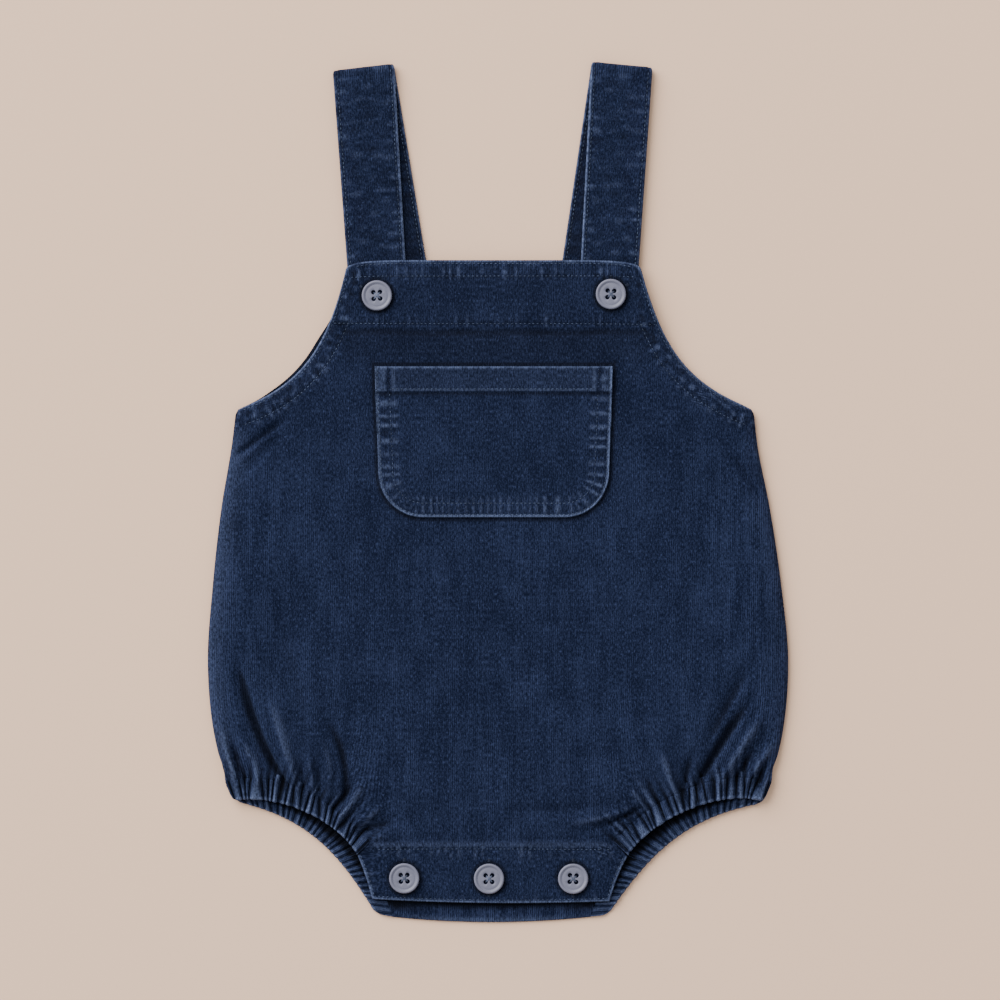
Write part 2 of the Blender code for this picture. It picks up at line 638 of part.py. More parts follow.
def build():
    clear_scene()
    scene = bpy.context.scene
    parts = bpy.data.collections.new("baby_romper")
    cutters = bpy.data.collections.new("cutters")
    scene.collection.children.link(parts)
    scene.collection.children.link(cutters)
    garment = bpy.data.objects.new("romper", None)
    parts.objects.link(garment)

    def cloth(name, mesh):
        add_part(name, mesh, parts, garment, NAVY, 0.85, sheen=0.3)

    cloth("back_panel", back_panel_mesh())
    cloth("front_panel", front_panel_mesh())
    cloth("pocket", pocket_mesh())
    for name, casing in CASINGS.items():
        cloth(name, casing_mesh(name, casing))
    for name, strap in STRAPS.items():
        cloth(name, strap_mesh(name, strap))

    button = button_mesh(parts, cutters)
    button.materials.append(principled("button_finish", BUTTON_GREY, 0.45, 0.0))
    for name, place in BUTTONS.items():
        part = bpy.data.objects.new(name, button)
        seat = front_outside(np.array([place.x]), np.array([place.y]))[0] + SEAM_GAP
        part.location = (place.x * MM, place.y * MM, seat * MM)
        part.parent = garment
        parts.objects.link(part)


build()
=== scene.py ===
"""Looks of a baby romper in navy needlecord, laid flat with its front up.

Lengths in the tables are millimetres, and MM turns them into metres.
"""
import math
from collections import namedtuple

import bpy
import numpy as np
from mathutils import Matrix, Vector


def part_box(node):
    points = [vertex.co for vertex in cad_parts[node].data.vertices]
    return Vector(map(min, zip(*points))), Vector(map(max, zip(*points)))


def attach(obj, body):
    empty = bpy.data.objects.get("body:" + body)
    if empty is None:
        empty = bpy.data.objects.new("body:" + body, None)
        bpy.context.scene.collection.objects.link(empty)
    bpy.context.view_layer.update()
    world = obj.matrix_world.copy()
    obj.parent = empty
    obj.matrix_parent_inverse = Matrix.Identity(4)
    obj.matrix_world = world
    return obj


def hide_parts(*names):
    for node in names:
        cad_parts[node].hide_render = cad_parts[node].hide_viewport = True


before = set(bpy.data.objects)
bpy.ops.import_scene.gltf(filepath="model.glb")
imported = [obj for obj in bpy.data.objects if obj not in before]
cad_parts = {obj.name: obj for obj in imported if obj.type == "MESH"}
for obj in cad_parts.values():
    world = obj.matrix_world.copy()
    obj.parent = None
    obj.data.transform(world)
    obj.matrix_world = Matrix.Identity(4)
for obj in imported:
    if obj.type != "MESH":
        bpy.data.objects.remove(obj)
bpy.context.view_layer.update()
MM = 0.001


# ================================================================ the surface
# A plain matt surface, a wide soft lamp from the upper left and a camera that
# looks straight down on the garment.

VIEW_WIDTH = 0.5
VIEW_HEIGHT = 3.0
VIEW_MIDDLE = (0.001, -0.004)
SURFACE_COLOUR = (0.860, 0.590, 0.424)
LAMP_PLACE = (-3.45, 3.55, 3.40)
LAMP_SIZE = 6.60
LAMP_POWER = 795.0
LAMP_COLOUR = (1.0, 0.985, 0.96)
ROOM_LIGHT = 0.725
ROOM_COLOUR = (1.0, 0.99, 0.98)
SURFACE_HALF = 2.0
SURFACE_LEVEL = -0.2 * MM
SENSOR_WIDTH = 36.0


def aim(thing, target):
    """Turns a lamp or camera so that its -Z looks at the target."""
    look = Vector(target) - thing.location
    thing.rotation_euler = look.to_track_quat("-Z", "Y").to_euler()


def placed(name, data):
    """A new object of a mesh, a lamp or a camera, put into the scene."""
    thing = bpy.data.objects.new(name, data)
    bpy.context.scene.collection.objects.link(thing)
    return thing


def new_material(name, roughness, specular):
    """A material with its node tree and its shader."""
    material = bpy.data.materials.new(name)
    material.use_nodes = True
    shader = material.node_tree.nodes["Principled BSDF"]
    shader.inputs["Roughness"].default_value = roughness
    shader.inputs["Specular IOR Level"].default_value = specular
    return material, material.node_tree, shader


def add_surface():
    """A square that lies just under the garment."""
    mesh = bpy.data.meshes.new("surface")
    corners = ((-1, -1), (1, -1), (1, 1), (-1, 1))
    mesh.from_pydata([(SURFACE_HALF * x, SURFACE_HALF * y, SURFACE_LEVEL) for x, y in corners],
                     [], [(0, 1, 2, 3)])
    material, _, shader = new_material("matt_surface", 0.9, 0.15)
    shader.inputs["Base Color"].default_value = (*SURFACE_COLOUR, 1.0)
    mesh.materials.append(material)
    placed("surface", mesh)


def add_light_and_camera():
    """The lamp, the room's even light, and a camera straight above."""
    lamp_data = bpy.data.lights.new("soft_lamp", "AREA")
    lamp_data.shape = "DISK"
    lamp_data.size = LAMP_SIZE
    lamp_data.energy = LAMP_POWER
    lamp_data.color = LAMP_COLOUR
    lamp = placed("soft_lamp", lamp_data)
    lamp.location = LAMP_PLACE
    aim(lamp, (0.0, 0.0, 0.0))

    world = bpy.data.worlds.new("soft_room")
    world.use_nodes = True
    sky = world.node_tree.nodes["Background"]
    sky.inputs["Color"].default_value = (*ROOM_COLOUR, 1.0)
    sky.inputs["Strength"].default_value = ROOM_LIGHT
    bpy.context.scene.world = world

    camera_data = bpy.data.cameras.new("camera")
    camera_data.sensor_width = SENSOR_WIDTH
    camera_data.lens = SENSOR_WIDTH * VIEW_HEIGHT / VIEW_WIDTH
    camera = placed("camera", camera_data)
    camera.location = (*VIEW_MIDDLE, VIEW_HEIGHT)
    bpy.context.scene.camera = camera


add_surface()
add_light_and_camera()


# ============================================================ the needlecord
# Washed navy cotton corduroy with fine wales. The piece's UV map is the flat
# cloth in metres: u counts across the wales and v runs along them. The wear
# and shade attribute is 0 on plain cloth, 1 where edges and ridges are rubbed
# pale, and down to -1 where shade is painted in, near black: under layers that
# lie over the cloth, in valleys, troughs and grooves. The rib attribute says
# how clearly the wales stand, as washing has matted many.

WALE = 1.05 * MM
NAVY_DEEP = (0.0011, 0.0034, 0.0152)
NAVY_PALE = (0.0215, 0.0320, 0.0800)
NAVY_WORN = (0.098, 0.130, 0.240)
# Near black to which negative wear blends: the colour of painted shade
NAVY_SHADE = (0.0006, 0.0010, 0.0030)
SHEEN_TINT = (0.30, 0.45, 1.0)
SHEEN_ROUGHNESS = 0.40
WALE_SHARE = 0.55
STREAK_SHARE = 0.20
TONE_START = -0.62
TONE_LIMIT = 1.6

# The patterns on the cord, all soft noise: how many times a metre across and
# along, the noise's detail and roughness, the stretch of it that is spread
# over 0 to 1, and the share in the cloth's tone.
CordPattern = namedtuple("CordPattern", "across along detail roughness low high share")
CORD_PATTERNS = {
    "stands": CordPattern(120.0, 26.0, 2.0, 0.5, 0.40, 0.62, 0.0),
    "broken": CordPattern(1000.0, 240.0, 1.0, 0.5, 0.30, 0.62, 0.0),
    "streaks": CordPattern(560.0, 30.0, 2.0, 0.6, 0.36, 0.64, 0.0),
    "grain": CordPattern(1600.0, 560.0, 2.0, 0.7, 0.30, 0.70, 0.95),
    "fine": CordPattern(2600.0, 1500.0, 1.0, 0.5, 0.30, 0.70, 0.34),
    "patches": CordPattern(85.0, 75.0, 3.0, 0.6, 0.30, 0.70, 0.20),
    "clouds": CordPattern(24.0, 22.0, 2.0, 0.5, 0.35, 0.65, 0.12),
    "specks": CordPattern(1200.0, 560.0, 0.0, 0.5, 0.68, 0.80, 0.62),
}


def step(tree, kind, *values, out=0, **settings):
    """Adds a node, sets its inputs by place to values or links, gives an output."""
    node = tree.nodes.new(kind)
    for name, value in settings.items():
        setattr(node, name, value)
    for socket, value in zip(node.inputs, values):
        if isinstance(value, bpy.types.NodeSocket):
            tree.links.new(value, socket)
        elif value is not None:
            socket.default_value = value
    return node.outputs[out]


def maths(tree, operation, a, b=0.0, c=0.0):
    """One sum on values or links."""
    return step(tree, "ShaderNodeMath", a, b, c, operation=operation)


def scaled(tree, vector, across, along):
    """A cloth coordinate stretched for a pattern: u times across, v times along."""
    return step(tree, "ShaderNodeVectorMath", vector, (across, along, 1.0),
                operation="MULTIPLY")


def speckle(tree, vector, detail=2.0, roughness=0.5):
    """Soft noise from 0 to 1 on a coordinate that is already scaled."""
    node = tree.nodes.new("ShaderNodeTexNoise")
    tree.links.new(vector, node.inputs["Vector"])
    node.inputs["Scale"].default_value = 1.0
    node.inputs["Detail"].default_value = detail
    node.inputs["Roughness"].default_value = roughness
    return node.outputs["Fac"]


def spread(tree, value, low, high):
    """Stretches the stretch from low to high of a value over 0 to 1."""
    return step(tree, "ShaderNodeMapRange", value, low, high, 0.0, 1.0)


def blend_colour(tree, share, first, second):
    """The first colour at share 0, the second at share 1."""
    node = tree.nodes.new("ShaderNodeMix")
    node.data_type = "RGBA"
    for socket, value in ((node.inputs[0], share), (node.inputs[6], first),
                          (node.inputs[7], second)):
        if isinstance(value, bpy.types.NodeSocket):
            tree.links.new(value, socket)
        else:
            socket.default_value = (*value, 1.0) if isinstance(value, tuple) else value
    return node.outputs[2]


def cord_group():
    """Node group of the cord's face. The wales are a sine across the cloth that
    swerves, stands more or less and is broken up. The tone adds them to the
    patterns by their shares. Wear blends it to pale, and negative wear is
    painted shade that blends it to near black."""
    group = bpy.data.node_groups.new("needlecord_face", "ShaderNodeTree")
    for name, way, kind in (("Cloth", "INPUT", "Vector"), ("Wear", "INPUT", "Float"),
                            ("Rib", "INPUT", "Float"), ("Color", "OUTPUT", "Color"),
                            ("Roughness", "OUTPUT", "Float"), ("Height", "OUTPUT", "Float")):
        group.interface.new_socket(name, in_out=way, socket_type="NodeSocket" + kind)
    given = group.nodes.new("NodeGroupInput").outputs
    cloth, wear, rib = given["Cloth"], given["Wear"], given["Rib"]

    noise, shown = {}, {}
    for name, row in CORD_PATTERNS.items():
        noise[name] = speckle(group, scaled(group, cloth, row.across, row.along),
                              row.detail, row.roughness)
        shown[name] = spread(group, noise[name], row.low, row.high)

    def times_plus(a, b, c):
        """a times b, plus c."""
        return maths(group, "MULTIPLY_ADD", a, b, c)

    parts = group.nodes.new("ShaderNodeSeparateXYZ")
    group.links.new(cloth, parts.inputs[0])
    swerve = maths(group, "MULTIPLY", speckle(group, scaled(group, cloth, 260.0, 45.0), 1.0), 3.0)
    turns = times_plus(parts.outputs[0], 2 * math.pi / WALE, swerve)
    wave = times_plus(maths(group, "SINE", turns), 0.5, 0.5)
    wale = maths(group, "POWER", wave, 0.8)
    for share in (times_plus(shown["stands"], 0.80, 0.20),
                  times_plus(shown["broken"], 0.7, 0.3), rib):
        wale = maths(group, "MULTIPLY", wale, share)

    tone = times_plus(wale, WALE_SHARE, TONE_START)
    for name, row in CORD_PATTERNS.items():
        if row.share:
            tone = times_plus(shown[name], row.share, tone)
    streaks = maths(group, "MULTIPLY", maths(group, "SUBTRACT", shown["streaks"], 0.5), rib)
    tone = times_plus(streaks, STREAK_SHARE, tone)
    tone = step(group, "ShaderNodeClamp", tone, 0.0, TONE_LIMIT)
    colour = blend_colour(group, tone, NAVY_DEEP, NAVY_PALE)
    rubbed = maths(group, "MULTIPLY", wear, times_plus(shown["grain"], 1.2, 0.12))
    rubbed = step(group, "ShaderNodeClamp", rubbed, 0.0, 1.0)
    colour = blend_colour(group, rubbed, colour, NAVY_WORN)
    # Negative wear is painted shade, blended toward near black
    painted_shade = step(group, "ShaderNodeClamp", maths(group, "MULTIPLY", wear, -1.0), 0.0, 1.0)
    colour = blend_colour(group, painted_shade, colour, NAVY_SHADE)

    given_out = group.nodes.new("NodeGroupOutput").inputs
    group.links.new(colour, given_out["Color"])
    group.links.new(times_plus(noise["fine"], 0.12, 0.82), given_out["Roughness"])
    height = times_plus(noise["fine"], 0.30, times_plus(noise["grain"], 0.9, wale))
    group.links.new(height, given_out["Height"])
    return group


def bumped(tree, shader, height, depth):
    """Lets a height from 0 to 1 stand up to depth mm out of a shader's face."""
    bump = tree.nodes.new("ShaderNodeBump")
    bump.inputs["Distance"].default_value = depth * MM
    bump.inputs["Strength"].default_value = 1.0
    tree.links.new(height, bump.inputs["Height"])
    tree.links.new(bump.outputs[0], shader.inputs["Normal"])


def cord_material(name, relief, sheen):
    """Needlecord with its own depth of wales and strength of sheen."""
    material, tree, shader = new_material(name, 0.5, 0.10)
    cloth = tree.nodes.new("ShaderNodeUVMap")
    cloth.uv_map = "cloth"
    face = tree.nodes.new("ShaderNodeGroup")
    face.node_tree = CORD_FACE
    tree.links.new(cloth.outputs[0], face.inputs["Cloth"])
    for attribute in ("wear", "rib"):
        value = tree.nodes.new("ShaderNodeAttribute")
        value.attribute_name = attribute
        tree.links.new(value.outputs["Fac"], face.inputs[attribute.capitalize()])
    tree.links.new(face.outputs["Color"], shader.inputs["Base Color"])
    tree.links.new(face.outputs["Roughness"], shader.inputs["Roughness"])
    bumped(tree, shader, face.outputs["Height"], relief)
    shader.inputs["Sheen Weight"].default_value = sheen
    shader.inputs["Sheen Roughness"].default_value = SHEEN_ROUGHNESS
    shader.inputs["Sheen Tint"].default_value = (*SHEEN_TINT, 1.0)
    return material


CORD_FACE = cord_group()
BODY_CORD = cord_material("body_cord", 0.20, 0.10)
TRIM_CORD = cord_material("trim_cord", 0.24, 0.12)


# ================================================================= the back
# One piece of needlecord that lies flat under the front. It shows as a strip
# below the crotch flap, between the ends of its casings, and as a sliver along
# the left armhole, which painted shade of the front makes dark.

UNDERARM = 41.5
ARMHOLE_TOP = 111.0
LEG_CORNER = -145.0
SideRow = namedtuple("SideRow", "height left right")
SIDE_SEAMS = (
    SideRow(UNDERARM, -130.8, 127.6),
    SideRow(23.5, -133.0, 129.6),
    SideRow(-6.5, -138.0, 135.5),
    SideRow(-46.5, -142.5, 141.5),
    SideRow(-86.5, -145.0, 145.0),
    SideRow(-116.5, -142.6, 142.8),
    SideRow(LEG_CORNER, -136.2, 136.6),
)
Curve = namedtuple("Curve", "x0 y0 angle0 reach0 x1 y1 angle1 reach1")
ARMHOLES = {
    "left": Curve(-76.0, ARMHOLE_TOP, -103.2, 34.7, -130.8, UNDERARM, 18.2, 36.8),
    "right": Curve(71.5, ARMHOLE_TOP, -74.5, 35.8, 127.6, UNDERARM, 159.9, 38.8),
}
Casing = namedtuple("Casing", "inner outer pleats level height seed")
CASINGS = {
    "leg_casing_front_left": Casing(
        Curve(-136.2, LEG_CORNER, 14.9, 31.2, -64.0, -175.0, 133.7, 28.3),
        Curve(-132.4, -154.4, 12.1, 20.7, -70.5, -181.0, 120.0, 21.3),
        22, 2.9, 2.3, 1.0),
    "leg_casing_front_right": Casing(
        Curve(136.6, LEG_CORNER, 162.5, 29.0, 58.0, -175.0, 51.4, 27.0),
        Curve(132.8, -154.6, 162.9, 22.5, 65.0, -181.4, 56.9, 21.7),
        22, 2.9, 2.3, 4.0),
    "leg_casing_back_left": Casing(
        Curve(-135.8, -147.0, -4.1, 42.0, -52.8, -212.2, 107.9, 35.7),
        Curve(-131.0, -154.8, -12.7, 37.0, -61.2, -210.8, 121.1, 35.4),
        30, 0.0, 2.1, 7.0),
    "leg_casing_back_right": Casing(
        Curve(135.6, -147.0, 184.1, 42.0, 46.4, -212.2, 72.1, 36.5),
        Curve(132.4, -155.6, 189.8, 39.4, 55.0, -211.4, 55.8, 36.5),
        30, 0.0, 2.1, 9.0),
}
SEAM_GAP = 0.05
BEND_START = 30.0
BACK_TOP = 96.0
BACK_HEM = -212.4
BACK_HEM_BOW = 2.6
BACK_CLOTH = 1.3
BACK_ARMHOLE_SHOW = 2.1
UNDERARM_ROUNDING = 1.1
BACK_GRID = (150, 130)
BACK_RIB = 1.7
BACK_SWELL = 0.12
RIM_STEPS = 6
# Heights between which the back's sliver shows at the left armhole, and those
# from which painted shade darkens the back: under the front, and under the flap
SLIVER_FOOT, SLIVER_HEAD = (42.0, 52.0), (74.0, 90.0)
SHADE_UNDER_FRONT = (36.0, 42.0)
SHADE_UNDER_FLAP = (-208.6, -206.6)


def bezier(curve, steps):
    """A cubic from two ends and the pulls at them, as (steps + 1, 2) points."""
    start, end = np.array(curve[0:2]), np.array(curve[4:6])
    turn0, turn1 = math.radians(curve.angle0), math.radians(curve.angle1)
    pull0 = start + curve.reach0 * np.array([math.cos(turn0), math.sin(turn0)])
    pull1 = end + curve.reach1 * np.array([math.cos(turn1), math.sin(turn1)])
    t = np.linspace(0.0, 1.0, steps + 1)[:, None]
    return ((1 - t) ** 3 * start + 3 * t * (1 - t) ** 2 * pull0
            + 3 * t ** 2 * (1 - t) * pull1 + t ** 3 * end)


def ease(x, low, high):
    """0 below low, 1 above high, and 3t^2 - 2t^3 between them."""
    t = np.clip((x - low) / (high - low), 0.0, 1.0)
    return t * t * (3 - 2 * t)


def bell(x, middle, width, power=2):
    """1 at the middle, e to the minus (distance / width) ^ power beside it."""
    return np.exp(-((x - middle) / width) ** power)


def smooth_side(y, side):
    """x of a side seam at heights y: a cubic through the rows of SIDE_SEAMS."""
    heights = np.array([row.height for row in SIDE_SEAMS])[::-1]
    places = np.array([getattr(row, side) for row in SIDE_SEAMS])[::-1]
    slopes = np.gradient(places, heights)
    i = np.clip(np.searchsorted(heights, y) - 1, 0, len(heights) - 2)
    span = heights[i + 1] - heights[i]
    t = np.clip((y - heights[i]) / span, 0.0, 1.0)
    return ((2 * t ** 3 - 3 * t ** 2 + 1) * places[i]
            + (t ** 3 - 2 * t ** 2 + t) * span * slopes[i]
            + (3 * t ** 2 - 2 * t ** 3) * places[i + 1]
            + (t ** 3 - t ** 2) * span * slopes[i + 1])


def body_edge(y, side):
    """x of the outline at heights y: the armhole above, the side seam below."""
    armhole = bezier(ARMHOLES[side], 200)[::-1]
    above = np.interp(y, armhole[:, 1], armhole[:, 0])
    inward = 1 if side == "left" else -1
    corner = UNDERARM_ROUNDING * bell(y, UNDERARM, 1.7)
    return np.where(y > UNDERARM, above, smooth_side(y, side)) + inward * corner


def leg_edges(front_or_back, columns):
    """A panel's edges along its two casings, a seam's gap inside them."""
    edges = []
    for side in ("left", "right"):
        curve = CASINGS[f"leg_casing_{front_or_back}_{side}"].inner
        edge = bezier(curve, columns)[::1 if side == "left" else -1]
        along = np.gradient(edge, axis=0)
        along /= np.hypot(along[:, 0], along[:, 1])[:, None]
        inward = np.stack([-along[:, 1], along[:, 0]], axis=1)
        edges.append(edge + SEAM_GAP * inward)
    return edges


def panel_plan(heights, foot, share):
    """Plan of a panel: level rows from side to side, which take up the foot's
    shape by the square of their way down from BEND_START."""
    left = body_edge(heights, "left")[:, None]
    right = body_edge(heights, "right")[:, None]
    bend = (np.clip((BEND_START - heights) / (BEND_START - heights[-1]), 0, 1) ** 2)[:, None]
    x = left + (right - left) * share
    y = np.repeat(heights[:, None], len(share), axis=1)
    return x + bend * (foot[:, 0] - x[-1]), y + bend * (foot[:, 1] - y[-1])


def wander(t, pitch, seed):
    """Aimless drift between -1 and 1 along t: three sines of unlike pitch."""
    return (0.5 * np.sin(2 * np.pi * t / pitch + 1.7 * seed)
            + 0.3 * np.sin(2 * np.pi * t / (0.61 * pitch) + 4.1 * seed + 1.0)
            + 0.2 * np.sin(2 * np.pi * t / (1.73 * pitch) + 2.9 * seed + 2.0))


def swell(x, y, size, seed):
    """Soft hills between -1 and 1 over the plan: five crossing sines."""
    total = 0.0
    for k in range(5):
        turn = seed + 2.4 * k
        across = x * math.cos(turn) + y * math.sin(turn)
        total = total + np.sin(2 * np.pi * across / (size * (0.75 + 0.13 * k)) + 1.9 * k + seed)
    return total / 5


def grid_faces(rows, columns, keep=None):
    """Quads of a grid, wound to face up when rows run down and columns right."""
    index = np.arange(rows * columns).reshape(rows, columns)
    quads = np.stack([index[:-1, :-1], index[1:, :-1], index[1:, 1:], index[:-1, 1:]], axis=-1)
    return quads.reshape(-1, 4) if keep is None else quads[keep]


def rim_loop(rows, columns):
    """Indices round a grid's rim, anticlockwise seen from above."""
    index = np.arange(rows * columns).reshape(rows, columns)
    return np.concatenate([index[:-1, 0], index[-1, :-1], index[:0:-1, -1], index[0, :0:-1]])


def band_faces(first, second):
    """Quads between two closed rings of indices."""
    return np.stack([first, second, np.roll(second, -1), np.roll(first, -1)], axis=-1)


def roll_edge(points, loop, radius, tuck):
    """Rolls a sheet's rim under: a half circle of the given radius, which may
    differ from point to point, outwards and down, then a tuck back in. Gives
    all points, the new faces and the rim point that each new point hangs from."""
    radius = np.broadcast_to(radius, len(loop))[:, None]
    edge = points[loop]
    along = np.roll(edge, -1, axis=0) - np.roll(edge, 1, axis=0)
    length = np.hypot(along[:, 0], along[:, 1])[:, None]
    outward = np.stack([along[:, 1], -along[:, 0], np.zeros(len(loop))], axis=1) / length
    inset = edge - radius * outward
    points = points.copy()
    points[loop] = inset
    down = np.array([0.0, 0.0, -1.0])
    rings = [inset + radius * (math.sin(a) * outward + (1 - math.cos(a)) * down)
             for a in np.linspace(0.0, math.pi, RIM_STEPS + 1)[1:]]
    if tuck:
        rings.append(rings[-1] - tuck * outward)
    faces, first = [], loop
    for k in range(len(rings)):
        second = len(points) + k * len(loop) + np.arange(len(loop))
        faces.append(band_faces(first, second))
        first = second
    hangs_from = np.tile(loop, len(rings))
    return np.vstack([points] + rings), np.vstack(faces), hangs_from


def mesh_object(name, points, faces, material=None):
    """A new object of a mesh whose points are in mm."""
    mesh = bpy.data.meshes.new(name)
    faces = faces if isinstance(faces, list) else faces.tolist()
    mesh.from_pydata((points * MM).tolist(), [], faces)
    if material:
        mesh.materials.append(material)
    return placed(name, mesh)


def cloth_piece(name, points, faces, cloth, wear, material, rib=1.0):
    """An object from points in mm, with its cloth map, wear and painted shade, and rib."""
    piece = mesh_object(name, points, faces, material)
    mesh = piece.data
    corner = np.empty(len(mesh.loops), dtype=np.int32)
    mesh.loops.foreach_get("vertex_index", corner)
    layer = mesh.uv_layers.new(name="cloth")
    layer.data.foreach_set("uv", (cloth[corner] * MM).astype(np.float32).ravel())
    for attribute, value in (("wear", np.clip(wear, -1.0, 1.0)), ("rib", rib)):
        value = np.broadcast_to(value, len(points)).astype(np.float32)
        mesh.attributes.new(attribute, "FLOAT", "POINT").data.foreach_set("value", value)
    mesh.shade_smooth()
    mesh.update()
    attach(piece, "root")
    return piece


def back_sheet():
    """Back: a flat underside on the surface and a top 1.3 mm above it, joined
    round the rim, with soft unevenness that fades out at the rim."""
    rows, columns = BACK_GRID
    leg_columns = columns * 2 // 5
    left, right = leg_edges("back", leg_columns)
    across = np.linspace(0.0, 1.0, columns - 2 * leg_columns)[:, None]
    hem = left[-1] + (right[0] - left[-1]) * across
    hem[:, 1] = BACK_HEM - (BACK_HEM_BOW * 4 * across * (1 - across))[:, 0]
    foot = np.vstack([left[:-1], hem, right[1:]])
    heights = np.linspace(BACK_TOP, left[0, 1], rows)
    share = np.linspace(0.0, 1.0, len(foot))
    x, y = panel_plan(heights, foot, share)
    shows = ease(heights, *SLIVER_FOOT) * (1 - ease(heights, *SLIVER_HEAD))
    sliver = shows[:, None] * (1 - ease(share, 0.0, 0.2))
    x = x - BACK_ARMHOLE_SHOW * sliver
    inside = np.minimum(share, 1 - share) * 2
    lift = BACK_SWELL * swell(x, y, 22.0, 3.0) * ease(inside, 0.0, 0.05)
    top = np.stack([x, y, BACK_CLOTH + lift], axis=-1).reshape(-1, 3)
    loop = rim_loop(*x.shape)
    top, rim, _ = roll_edge(top, loop, BACK_CLOTH / 2, 0.0)
    upper = grid_faces(*x.shape)
    free = np.setdiff1d(np.arange(x.size), loop)
    under = np.zeros(x.size, dtype=int)
    under[loop] = len(top) - len(loop) + np.arange(len(loop))
    under[free] = len(top) + np.arange(len(free))
    floor = np.stack([x.ravel()[free], y.ravel()[free], np.zeros(len(free))], axis=1)
    points = np.vstack([top, floor])
    faces = np.vstack([upper, rim, under[upper[:, ::-1]]])
    hem = bell(points[:, 1], BACK_HEM - 0.7 * BACK_HEM_BOW, 1.5)
    # The hem is rubbed pale. Painted shade darkens the back where the front lies over it
    wear = 0.35 * hem - 0.7 * ease(points[:, 1], *SHADE_UNDER_FRONT)
    # Painted shadow of the crotch flap on the back below it
    wear = wear - 0.95 * ease(points[:, 1], *SHADE_UNDER_FLAP) * (points[:, 1] < 0)
    return cloth_piece("back", points, faces, points[:, :2], wear, BODY_CORD, BACK_RIB)


back = back_sheet()
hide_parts("back_panel")


# ================================================================ the front
# Bib, body and crotch flap in one piece of needlecord. Facings are stitched
# behind the bib's top and the armholes, and the cloth puckers along them. The
# body's fullness runs into the leg casings in folds and small gathers.

CLOTH = 1.4
BIB_LEVEL = 4.7
SIDE_LEVEL = 1.6
LEG_LEVEL = 2.9
BIB_SAG = 0.8
EDGE_ROUNDING = 20.0
BIB_BAND_FOOT = 84.0
BIB_BAND_RISE = 0.6
BIB_CORNER_RISE = 4.75
RISE_FOOT = 95.0
NOTCH_HEIGHT = -138.0
NOTCH_DEPTH = 0.9
NOTCH_REACH = 4.5
NOTCH_FADE = 7.0
NOTCH_FOOT = -146.0
FullRow = namedtuple("FullRow", "height level fullness")
FULLNESS = (
    FullRow(116.0, BIB_LEVEL, 0.0),
    FullRow(86.0, BIB_LEVEL, 0.0),
    FullRow(58.0, 1.9, 1.9),
    FullRow(20.0, SIDE_LEVEL, 2.7),
    FullRow(-60.0, SIDE_LEVEL, 3.3),
    FullRow(-118.0, SIDE_LEVEL, 3.4),
    FullRow(-146.0, LEG_LEVEL, 2.1),
    FullRow(-170.0, LEG_LEVEL, 0.9),
    FullRow(-182.0, LEG_LEVEL, 0.0),
    FullRow(-206.0, LEG_LEVEL, 0.0),
)
Fold = namedtuple("Fold", "x0 y0 x1 y1 x2 y2 left right height")
